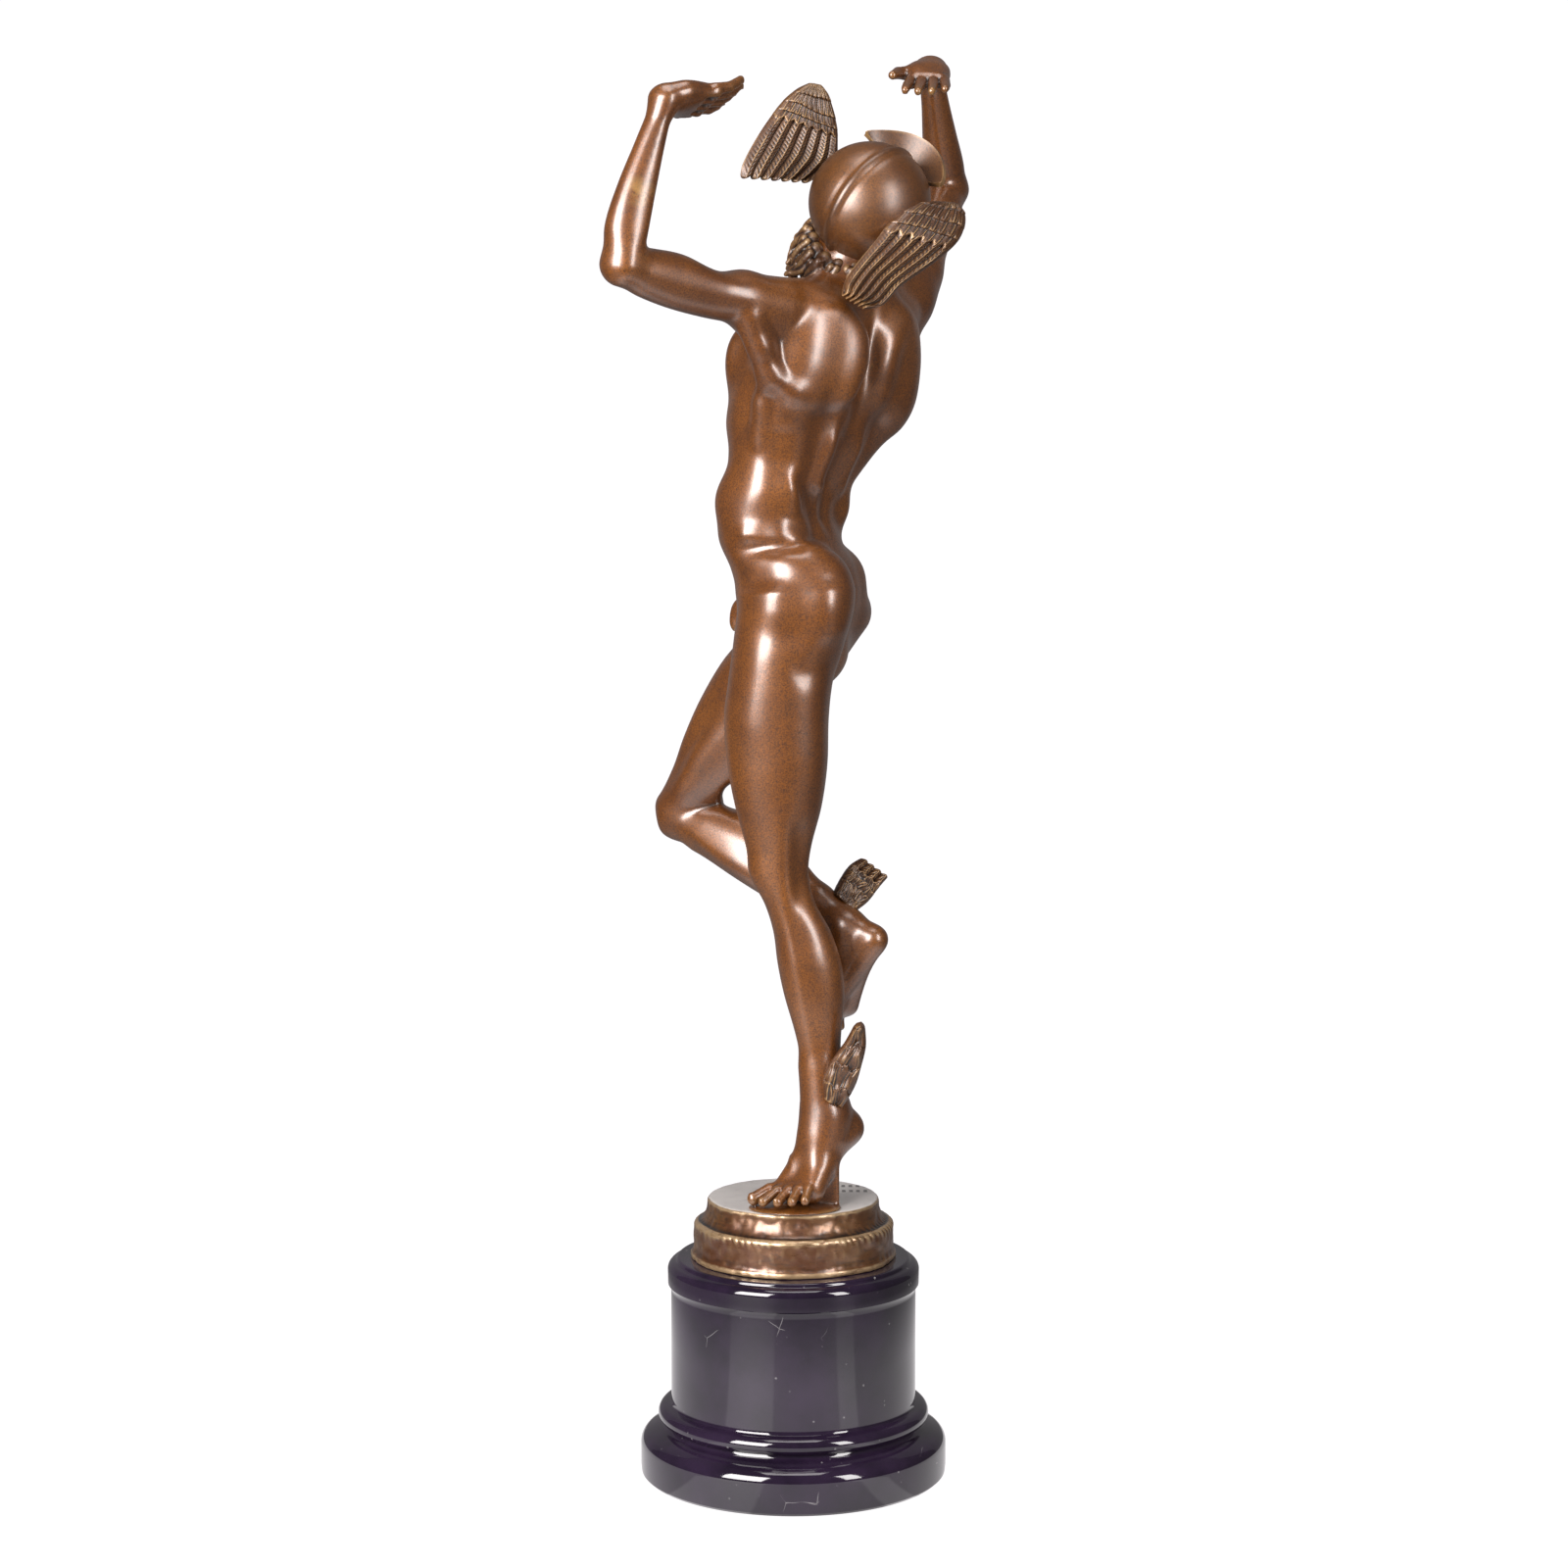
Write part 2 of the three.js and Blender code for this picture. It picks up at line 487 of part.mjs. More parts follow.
// Samples the clay on a grid, and skins it with marching tetrahedra, which always close
function skin(lumps, step) {
  const lo = V(1e9, 1e9, 1e9);
  const hi = V(-1e9, -1e9, -1e9);
  for (const lump of lumps.filter((l) => !l.cut)) {
    lo.min(lump.centre.clone().subScalar(lump.reach + 2 * step));
    hi.max(lump.centre.clone().addScalar(lump.reach + 2 * step));
  }
  const count = [0, 1, 2].map((i) => Math.ceil((hi.getComponent(i) - lo.getComponent(i)) / step) + 2);
  const [nx, ny, nz] = count;
  const field = new Float32Array(nx * ny * nz).fill(9);
  const index = (i, j, k) => (k * ny + j) * nx + i;
  const margin = 3 * step;
  for (const lump of lumps) {
    const spread = lump.reach + lump.blend + margin;
    const from = [0, 1, 2].map((i) => Math.max(0,
      Math.floor((lump.centre.getComponent(i) - spread - lo.getComponent(i)) / step)));
    const to = [0, 1, 2].map((i) => Math.min(count[i] - 1,
      Math.ceil((lump.centre.getComponent(i) + spread - lo.getComponent(i)) / step)));
    for (let k = from[2]; k <= to[2]; k += 1) {
      for (let j = from[1]; j <= to[1]; j += 1) {
        for (let i = from[0]; i <= to[0]; i += 1) {
          const n = index(i, j, k);
          const e = lump.distance(lo.x + i * step, lo.y + j * step, lo.z + k * step);
          field[n] = joined(field[n], e, lump.blend, lump.cut);
        }
      }
    }
  }
  for (let n = 0; n < field.length; n += 1) {
    if (Math.abs(field[n]) < 1e-4) field[n] = 1e-4;
  }
  const corners = [0, 1, 2, 3, 4, 5, 6, 7].map((c) => index(c & 1, (c >> 1) & 1, c >> 2));
  const tetrahedra = [[0, 1, 3, 7], [0, 3, 2, 7], [0, 2, 6, 7], [0, 6, 4, 7], [0, 4, 5, 7], [0, 5, 1, 7]];
  const points = [];
  const known = new Map();
  const faces = [];
  const crossing = (a, b) => {
    const [p, q] = a < b ? [a, b] : [b, a];
    const key = p * 8 + corners.indexOf(q - p);
    if (known.has(key)) return known.get(key);
    const share = field[p] / (field[p] - field[q]);
    const place = (n) => [n % nx, Math.floor(n / nx) % ny, Math.floor(n / (nx * ny))];
    const [from, to] = [place(p), place(q)];
    points.push(...from.map((f, c) => lo.getComponent(c) + step * (f + (to[c] - f) * share)));
    known.set(key, points.length / 3 - 1);
    return points.length / 3 - 1;
  };
  for (let k = 0; k < nz - 1; k += 1) {
    for (let j = 0; j < ny - 1; j += 1) {
      for (let i = 0; i < nx - 1; i += 1) {
        const base = index(i, j, k);
        let inside = 0;
        for (const c of corners) inside += field[base + c] < 0 ? 1 : 0;
        if (inside === 0 || inside === 8) continue;
        for (const tetra of tetrahedra) {
          const at = tetra.map((c) => base + corners[c]);
          const inner = at.filter((n) => field[n] < 0);
          const outer = at.filter((n) => field[n] >= 0);
          if (!inner.length || !outer.length) continue;
          // The corners' order tells which way round the face points out
          const order = [...inner, ...outer].map((n) => at.indexOf(n));
          let swaps = 0;
          for (let a = 0; a < 4; a += 1) {
            for (let b = a + 1; b < 4; b += 1) swaps += order[a] > order[b] ? 1 : 0;
          }
          const flip = swaps % 2 === 1;
          const face = (a, b, c) => faces.push(flip ? [a, c, b] : [a, b, c]);
          if (inner.length === 1) {
            face(...outer.map((n) => crossing(inner[0], n)));
          } else if (inner.length === 3) {
            face(...inner.map((n) => crossing(n, outer[0])));
          } else {
            const [p, q, r, s] = [crossing(inner[0], outer[0]), crossing(inner[0], outer[1]),
              crossing(inner[1], outer[1]), crossing(inner[1], outer[0])];
            face(p, q, r);
            face(p, r, s);
          }
        }
      }
    }
  }
  return { points, faces };
}

// Twice a triangle's area times its normal, for three points given by their coordinates
const cross = (ax, ay, az, bx, by, bz, cx, cy, cz) => [
  (by - ay) * (cz - az) - (bz - az) * (cy - ay),
  (bz - az) * (cx - ax) - (bx - ax) * (cz - az),
  (bx - ax) * (cy - ay) - (by - ay) * (cx - ax),
];

// How far a point is from the planes that a quadric adds up, squared and weighted by their areas
function strayed(q, x, y, z) {
  return q[0] * x * x + q[4] * y * y + q[7] * z * z + q[9]
    + 2 * (q[1] * x * y + q[2] * x * z + q[3] * x + q[5] * y * z + q[6] * y + q[8] * z);
}

// The point that strays least, or null where the planes don't fix one
function bestPoint([a, b, c, d, e, f, g, h, i]) {
  const det = a * (e * h - f * f) - b * (b * h - f * c) + c * (b * f - e * c);
  if (Math.abs(det) < 1e-7) return null;
  return [
    -(d * (e * h - f * f) - b * (g * h - f * i) + c * (g * f - e * i)) / det,
    -(a * (g * h - f * i) - d * (b * h - f * c) + c * (b * i - g * c)) / det,
    -(a * (e * i - g * f) - b * (b * i - g * c) + d * (b * f - e * c)) / det,
  ];
}

// A queue that gives back its item of least error
class Queue {
  items = [];

  push(item) {
    const { items } = this;
    let n = items.push(item) - 1;
    while (n > 0) {
      const parent = (n - 1) >> 1;
      if (items[parent].error <= item.error) break;
      items[n] = items[parent];
      n = parent;
    }
    items[n] = item;
  }

  pop() {
    const { items } = this;
    const top = items[0];
    const last = items.pop();
    if (!items.length) return top;
    let n = 0;
    for (let child = 1; child < items.length; child = 2 * n + 1) {
      if (child + 1 < items.length && items[child + 1].error < items[child].error) child += 1;
      if (items[child].error >= last.error) break;
      items[n] = items[child];
      n = child;
    }
    items[n] = last;
    return top;
  }
}

// A closed mesh with its least needed edges collapsed, down to a number of triangles
function thinned({ points, faces }, target) {
  const count = points.length / 3;
  const quadrics = Array.from({ length: count }, () => new Float64Array(10));
  const around = Array.from({ length: count }, () => []);
  const changes = new Int32Array(count);
  const seen = new Int32Array(count);
  let look = 0;
  const at = (v) => [points[3 * v], points[3 * v + 1], points[3 * v + 2]];
  faces.forEach(([a, b, c], f) => {
    const n = cross(...at(a), ...at(b), ...at(c));
    const size = Math.hypot(...n) || 1e-12;
    const plane = [n[0] / size, n[1] / size, n[2] / size, 0];
    plane[3] = -(plane[0] * points[3 * a] + plane[1] * points[3 * a + 1] + plane[2] * points[3 * a + 2]);
    for (const v of [a, b, c]) {
      around[v].push(f);
      let k = 0;
      for (let i = 0; i < 4; i += 1) {
        for (let j = i; j < 4; j += 1) {
          quadrics[v][k] += size * plane[i] * plane[j];
          k += 1;
        }
      }
    }
  });
  const neighbours = (v) => {
    look += 1;
    const found = [];
    for (const f of around[v]) {
      for (const w of faces[f]) {
        if (w === v || seen[w] === look) continue;
        seen[w] = look;
        found.push(w);
      }
    }
    return found;
  };
  const queue = new Queue();
  const sum = new Float64Array(10);
  const offer = (a, b) => {
    for (let k = 0; k < 10; k += 1) sum[k] = quadrics[a][k] + quadrics[b][k];
    const [ax, ay, az] = at(a);
    const [bx, by, bz] = at(b);
    const reach = Math.hypot(ax - bx, ay - by, az - bz);
    const middle = [(ax + bx) / 2, (ay + by) / 2, (az + bz) / 2];
    let place = bestPoint(sum);
    const far = place && Math.hypot(place[0] - middle[0], place[1] - middle[1], place[2] - middle[2]);
    if (!place || far > 1.5 * reach) place = middle;
    const error = Math.max(strayed(sum, ...place), 0) + 1e-7 * reach * reach;
    queue.push({ a, b, place, error, mark: changes[a] + changes[b] });
  };
  const turnsOver = (v, other, [x, y, z]) => around[v].some((f) => {
    const face = faces[f];
    if (face.includes(other)) return false;
    const first = face.indexOf(v);
    const [bx, by, bz] = at(face[(first + 1) % 3]);
    const [cx, cy, cz] = at(face[(first + 2) % 3]);
    const before = cross(...at(v), bx, by, bz, cx, cy, cz);
    const after = cross(x, y, z, bx, by, bz, cx, cy, cz);
    const turn = before[0] * after[0] + before[1] * after[1] + before[2] * after[2];
    return turn < 0.25 * Math.hypot(...before) * Math.hypot(...after);
  });
  for (let a = 0; a < count; a += 1) for (const b of neighbours(a)) if (a < b) offer(a, b);
  let left = faces.length;
  while (left > target && queue.items.length) {
    const { a, b, place, mark } = queue.pop();
    if (!around[a] || !around[b] || mark !== changes[a] + changes[b]) continue;
    const nearA = neighbours(a);
    const shared = neighbours(b).filter((v) => nearA.includes(v));
    if (shared.length !== 2 || turnsOver(a, b, place) || turnsOver(b, a, place)) continue;
    for (const f of around[b]) {
      if (faces[f].includes(a)) {
        for (const v of faces[f]) if (v !== b) around[v] = around[v].filter((g) => g !== f);
        faces[f] = null;
        left -= 1;
      } else {
        faces[f] = faces[f].map((v) => (v === b ? a : v));
        around[a].push(f);
      }
    }
    around[b] = null;
    for (let k = 0; k < 3; k += 1) points[3 * a + k] = place[k];
    for (let k = 0; k < 10; k += 1) quadrics[a][k] += quadrics[b][k];
    changes[a] += 1;
    for (const v of neighbours(a)) offer(a, v);
  }
  return { points, faces: faces.filter(Boolean) };
}

const positionsOnly = (geometry) => {
  for (const name of ['normal', 'uv']) geometry.deleteAttribute(name);
  return BufferGeometryUtils.mergeVertices(geometry, 1e-4);
};

const solidFrom = (geometry) => new wasm.Manifold(new wasm.Mesh({
  numProp: 3,
  vertProperties: geometry.attributes.position.array,
  triVerts: new Uint32Array(geometry.index.array),
}));

const geometryFrom = (solid) => {
  const { numProp, vertProperties, triVerts } = solid.getMesh();
  const positions = new Float32Array(vertProperties.length / numProp * 3);
  for (let n = 0; n < positions.length / 3; n += 1) {
    positions.set(vertProperties.subarray(n * numProp, n * numProp + 3), 3 * n);
  }
  const geometry = new THREE.BufferGeometry();
  geometry.setAttribute('position', new THREE.BufferAttribute(positions, 3));
  geometry.setIndex(new THREE.BufferAttribute(triVerts, 1));
  return geometry;
};

// The figure: skinned, thinned, and cut off flat where it stands on its base
function figureGeometry() {
  figureClay();
  const { points, faces } = thinned(skin(clay, gridStep), figureTriangles);
  const used = new Map();
  const positions = [];
  const index = faces.flat().map((v) => {
    if (!used.has(v)) {
      used.set(v, used.size);
      positions.push(points[3 * v] * unit, points[3 * v + 1] * unit, points[3 * v + 2] * unit);
    }
    return used.get(v);
  });
  const geometry = new THREE.BufferGeometry();
  geometry.setAttribute('position', new THREE.Float32BufferAttribute(positions, 3));
  geometry.setIndex(index);
  const under = new THREE.BoxGeometry(stature, stature, stature).translate(0, 0, -stature / 2);
  return geometryFrom(solidFrom(geometry).subtract(solidFrom(positionsOnly(under))));
}

// A turned piece: its profile is radius and height pairs, from the axis underneath to the axis on top
function turned(profile) {
  const outline = profile.map(([radius, height]) => new THREE.Vector2(radius, height));
  return new THREE.LatheGeometry(outline, roundSides).rotateX(Math.PI / 2);
}

const quarter = (centreRadius, centreHeight, radius, height, from, to, steps = 4) => (
  Array.from({ length: steps + 1 }, (_, n) => {
    const turn = (from + (to - from) * n / steps) * Math.PI / 180;
    return [centreRadius + radius * Math.cos(turn), centreHeight + height * Math.sin(turn)];
  })
);

const socleProfile = () => {
  const neck = socleBeadRadius - socleBeadHeight / 2;
  const footTop = socleFootHeight + socleBeadHeight / 2;
  const beadMiddle = footTop + socleBeadHeight / 2;
  const rimFoot = socleHeight - socleRimHeight;
  return [
    [0, 0],
    [socleFootRadius - 1.5, 0],
    [socleFootRadius, 5],
    ...quarter(socleFootRadius - 6, socleFootHeight - 6, 6, 6, 0, 60),
    [neck, footTop],
    ...quarter(neck, beadMiddle, socleBeadHeight / 2, socleBeadHeight / 2, -60, 90, 5),
    [socleDrumRadius, beadMiddle + socleBeadHeight / 2 + 1],
    [socleDrumRadius, rimFoot - 2],
    [socleRimRadius, rimFoot],
    ...quarter(socleTopRadius, rimFoot + 3, socleRimRadius - socleTopRadius, socleRimHeight - 3, 0, 80),
    [socleTopRadius, socleHeight],
    [0, socleHeight],
  ];
};

const baseProfile = () => [
  [0, 0],
  [baseDrumRadius + 1, 0],
  [baseDrumRadius + 1, 2],
  [baseDrumRadius, 3.5],
  [baseDrumRadius, baseDrumHeight - 4],
  ...quarter(baseDrumRadius - 2, baseDrumHeight, 2.3, 2.3, -30, 80, 4),
  [baseTopRadius + 2.5, baseDrumHeight + 3],
  [baseTopRadius + 0.8, baseDrumHeight + 5],
  [baseTopRadius, baseHeight - 1.5],
  [baseTopRadius - 1, baseHeight],
  [0, baseHeight],
];

function mesh(name, geometry, material, height) {
  const piece = new THREE.Mesh(geometry, material);
  piece.name = name;
  piece.position.z = height;
  return piece;
}

const patinatedBronze = new THREE.MeshStandardMaterial({ color: 0x5a3a1c, roughness: 0.35, metalness: 0.9 });
const brassyBronze = new THREE.MeshStandardMaterial({ color: 0x7d6238, roughness: 0.32, metalness: 0.9 });
const blackMarble = new THREE.MeshStandardMaterial({ color: 0x0b0a0d, roughness: 0.12, metalness: 0 });

const group = new THREE.Group();
group.add(mesh('marble_socle', turned(socleProfile()), blackMarble, 0));
group.add(mesh('bronze_base', turned(baseProfile()), brassyBronze, socleHeight + seatGap));
group.add(mesh('mercury_figure', figureGeometry(), patinatedBronze, groundLevel));

export default group;
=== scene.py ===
"""Mercury in cast bronze, poised on the ball of his left foot with both arms raised, on a round
bronze base and a turned socle of black marble. The lengths of the figure are in units of a
hundredth of its stature, from the middle of the base's top, and everything else is in metres."""
import math

import bpy
import numpy as np
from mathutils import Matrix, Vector, noise


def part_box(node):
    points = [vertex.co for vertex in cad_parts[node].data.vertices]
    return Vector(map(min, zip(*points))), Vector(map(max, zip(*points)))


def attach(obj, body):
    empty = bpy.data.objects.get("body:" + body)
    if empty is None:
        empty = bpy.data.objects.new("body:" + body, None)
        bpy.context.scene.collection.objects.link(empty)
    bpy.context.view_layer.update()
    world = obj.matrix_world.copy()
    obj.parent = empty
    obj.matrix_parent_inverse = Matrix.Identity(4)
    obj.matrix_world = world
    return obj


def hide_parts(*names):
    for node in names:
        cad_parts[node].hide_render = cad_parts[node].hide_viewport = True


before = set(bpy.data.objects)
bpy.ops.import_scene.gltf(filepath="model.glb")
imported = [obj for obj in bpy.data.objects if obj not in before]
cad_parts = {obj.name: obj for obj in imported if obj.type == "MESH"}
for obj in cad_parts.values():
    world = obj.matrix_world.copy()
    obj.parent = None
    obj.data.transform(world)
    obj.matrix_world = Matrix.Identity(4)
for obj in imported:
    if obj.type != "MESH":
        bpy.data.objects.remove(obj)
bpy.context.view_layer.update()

# Without a seed of its own the noise would differ from run to run
noise.seed_set(7)

# The figure's unit, and the level that it stands on
STATURE = 0.49
UNIT = STATURE / 100
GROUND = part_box("mercury_figure")[0].z


def vec(x, y, z):
    return np.array((x, y, z), float)


def along(a, b, share):
    return a + (b - a) * share


def unit_way(way):
    return way / np.linalg.norm(way)


def moved(point, *steps):
    """The point after some steps, each a direction and a length."""
    for way, length in steps:
        point = point + np.asarray(way) * length
    return point


def line(*words):
    """The points of a line. Each is given in the place that is named before it, or else as it
    stands in the figure."""
    place, points = None, []
    for word in words:
        if isinstance(word, Place):
            place = word
        else:
            points.append(place.at(*word) if place else vec(*word))
    return points


class Place:
    """A frame of the body: where it is, which way is left, front and up, and points given in it."""

    def __init__(self, origin, front, up):
        self.origin = origin
        self.up = unit_way(up)
        self.front = unit_way(front - self.up * np.dot(front, self.up))
        self.left = np.cross(self.up, self.front)
        self.ways = np.array((self.left, self.front, self.up))
        self.axes = self.ways.astype(np.float32)

    def at(self, left, front, up):
        return self.origin + self.left * left + self.front * front + self.up * up

    def way(self, left, front, up):
        return unit_way(self.left * left + self.front * front + self.up * up)


ADD, CUT, STROKE = range(3)


class Clay:
    """Lumps that flow into each other over a blend width, cuts that take clay away, and strokes
    that raise or hollow the skin. Each has its centre, its reach round that, its blend width, its
    distance at points, and what it does."""

    def __init__(self):
        self.lumps = []

    def add(self, centre, reach, blend, distance, deed=ADD):
        self.lumps.append((np.asarray(centre, np.float32), reach, blend, distance, deed))

    def limb(self, a, b, ra, rb, blend=1.0, deed=ADD):
        """A limb with round ends, from radius ra at a to radius rb at b."""
        start = np.asarray(a, np.float32)
        axis = np.asarray(b - a, np.float32)
        l2 = float(axis @ axis)
        rr = ra - rb
        a2 = l2 - rr * rr

        def distance(p):
            rel = p - start
            h = rel @ axis
            over = h - l2
            side = np.square(rel * l2 - h[:, None] * axis).sum(axis=1)
            k = math.copysign(rr * rr, rr) * side
            body = (np.sqrt(side * (a2 / l2)) + h * rr) / l2 - ra
            start_cap = np.sqrt(side + h * h * l2) / l2 - ra
            end_cap = np.sqrt(side + over * over * l2) / l2 - rb
            at_end = np.sign(over) * a2 * over * over * l2 > k
            at_start = np.sign(h) * a2 * h * h * l2 < k
            return np.where(at_end, end_cap, np.where(at_start, start_cap, body))

        self.add(along(a, b, 0.5), math.sqrt(l2) / 2 + max(ra, rb), blend, distance, deed)

    def chain(self, points, radii, blend=1.0, deed=ADD):
        """Limbs end to end, with a radius for each point."""
        for n in range(len(points) - 1):
            self.limb(points[n], points[n + 1], radii[n], radii[n + 1], blend, deed)

    def stroke(self, points, width, height):
        """A ridge along the points, or a groove where its height is below nothing: the skin moves
        out by the height on the line, less and less away from it, and not at all at its ends."""
        ends = np.array(points, np.float32)
        low, high = ends.min(axis=0), ends.max(axis=0)
        runs = np.linalg.norm(np.diff(ends, axis=0), axis=1)
        starts = np.concatenate(([0], np.cumsum(runs)[:-1])) / runs.sum()
        runs = runs / runs.sum()

        def distance(p):
            nearest = np.full(len(p), 99, np.float32)
            place = np.zeros(len(p), np.float32)
            for a, b, start, run in zip(ends, ends[1:], starts, runs):
                rel, axis = p - a, b - a
                share = np.clip(rel @ axis / float(axis @ axis), 0, 1)
                gap = np.square(rel - share[:, None] * axis).sum(axis=1)
                closer_one = gap < nearest
                nearest = np.where(closer_one, gap, nearest)
                place = np.where(closer_one, start + run * share, place)
            fade = np.clip(np.minimum(place, 1 - place) / 0.3, 0, 1)
            return height * np.exp(-nearest / width**2) * fade * fade * (3 - 2 * fade)

        reach = float(np.linalg.norm(high - low)) / 2 + 2.2 * width
        self.add((low + high) / 2, reach, 0, distance, STROKE)

    def strokes(self, *rows):
        """Strokes, each with its width, its height and the words of its line."""
        for width, height, *words in rows:
            self.stroke(line(*words), width, height)

    def egg(self, place, centre, sizes, blend=1.0, deed=ADD):
        """An ellipsoid with a half-size for each of a place's left, front and up."""
        sizes = np.array(sizes, np.float32)
        middle = np.asarray(centre, np.float32)

        def distance(p):
            local = (p - middle) @ place.axes.T / sizes
            k0 = np.sqrt(np.square(local).sum(axis=1))
            k1 = np.sqrt(np.square(local / sizes).sum(axis=1)) + 1e-6
            return k0 * (k0 - 1) / k1

        self.add(centre, float(sizes.max()), blend, distance, deed)

    def eggs(self, place, *rows):
        """Ellipsoids in a place, each with its centre, its half-sizes and its blend width there,
        and with its deed where that isn't to add."""
        for centre, sizes, blend, *deed in rows:
            self.egg(place, place.at(*centre), sizes, blend, *deed)

    def block(self, place, centre, sizes, rounding, blend=1.0, deed=ADD):
        """A block with rounded edges in a place's directions."""
        inner = np.array(sizes, np.float32) - rounding
        middle = np.asarray(centre, np.float32)

        def distance(p):
            over = np.abs((p - middle) @ place.axes.T) - inner
            outside = np.sqrt(np.square(np.maximum(over, 0)).sum(axis=1))
            return outside + np.minimum(over.max(axis=1), 0) - rounding

        self.add(centre, float(np.linalg.norm(sizes)), blend, distance, deed)

    def loft(self, a, b, front, side, rows, blend=1.0, cap_share=0.9):
        """A limb lofted from a to b. Each row has a share of the length, then half-widths to the
        outside, inside, front and back; side is 1 where the outside is on the left."""
        length = float(np.linalg.norm(b - a))
        place = Place(a, front, a - b)
        table = tabled(rows, 64).astype(np.float32)
        start = np.asarray(a, np.float32)

        def distance(p):
            l, f, u = ((p - start) @ place.axes.T).T
            widths = picked(table, np.clip(-u / length, 0, 1))
            over = np.where(u > 0, u, np.maximum(-u - length, 0))
            return section_distance(l * side, f, over, widths, cap_share * widths.min(axis=1))

        self.add(along(a, b, 0.5), length / 2 + float(table.max()), blend, distance)

    def trunk(self, rows, blend=1.0, cap=4.0):
        """Level sections up a part of the body. Each row has the height, the middle's x and y, the
        way the body faces in degrees from +X, and the half-widths to the left, right, front and
        back."""
        low, high = rows[0][0], rows[-1][0]
        table = tabled(rows, 200, low, high).astype(np.float32)

        def distance(p):
            row = picked(table, np.clip((p[:, 2] - low) / (high - low), 0, 1))
            turn = np.radians(row[:, 2])
            dx, dy = p[:, 0] - row[:, 0], p[:, 1] - row[:, 1]
            f = dx * np.cos(turn) + dy * np.sin(turn)
            l = -dx * np.sin(turn) + dy * np.cos(turn)
            over = np.where(p[:, 2] < low, low - p[:, 2], np.maximum(p[:, 2] - high, 0))
            return section_distance(l, f, over, row[:, 3:7], cap)

        middle = (table[0, :2] + table[-1, :2]) / 2
        widest = float(table[:, 3:].max())
        self.add(vec(*middle, (low + high) / 2), (high - low) / 2 + widest + 1, blend, distance)


def eased(rows, column, place):
    """A value between the rows of a profile, whose first column is the place, as a smooth curve."""
    n = 0
    while n < len(rows) - 2 and rows[n + 1][0] < place:
        n += 1
    p0, p1, p2, p3 = (rows[min(max(m, 0), len(rows) - 1)] for m in (n - 1, n, n + 1, n + 2))
    width = p2[0] - p1[0]
    t = min(max((place - p1[0]) / width, 0), 1)
    slope1 = 0 if p1 is p0 else (p2[column] - p0[column]) / (p2[0] - p0[0]) * width
    slope2 = 0 if p2 is p3 else (p3[column] - p1[column]) / (p3[0] - p1[0]) * width
    rise = p2[column] - p1[column]
    bend = 3 * rise - 2 * slope1 - slope2 + t * (slope1 + slope2 - 2 * rise)
    return p1[column] + t * (slope1 + t * bend)


def tabled(rows, steps, low=0, high=1):
    """A profile as a table in even steps of its first column, which is left out."""
    return np.array([[eased(rows, c, low + (high - low) * n / steps)
                      for c in range(1, len(rows[0]))] for n in range(steps + 1)])


def picked(table, share):
    """A table's values at shares of its length, between its rows too."""
    spot = share * (len(table) - 1)
    n = np.minimum(spot.astype(int), len(table) - 2)
    return table[n] + (table[n + 1] - table[n]) * (spot - n)[:, None]


def section_distance(l, f, over, widths, cap):
    """A rounded section's distance: its half-widths are to the left, right, front and back."""
    left = 0.5 + 0.5 * l / np.sqrt(l * l + 0.6)
    front = 0.5 + 0.5 * f / np.sqrt(f * f + 0.6)
    wl = widths[:, 1] + (widths[:, 0] - widths[:, 1]) * left
    wf = widths[:, 3] + (widths[:, 2] - widths[:, 3]) * front
    k0 = np.sqrt(np.square(l / wl) + np.square(f / wf) + np.square(over / cap))
    k1 = np.sqrt(np.square(l / wl**2) + np.square(f / wf**2) + np.square(over / cap**2))
    return np.where(k0 < 0.05, -np.minimum(wl, wf), k0 * (k0 - 1) / (k1 + 1e-6))


def joined(d, e, blend, deed):
    """One distance joined to the next: flowing into it, cut away by it, or moved by a stroke."""
    if deed == STROKE:
        return d - e
    if deed == CUT:
        h = np.maximum(blend - np.abs(d + e), 0) / blend
        return np.maximum(d, -e) + h * h * (blend / 4)
    h = np.maximum(blend - np.abs(d - e), 0) / blend
    return np.minimum(d, e) - h * h * (blend / 4)


FAR = np.float32(9)
BLOCK = 8


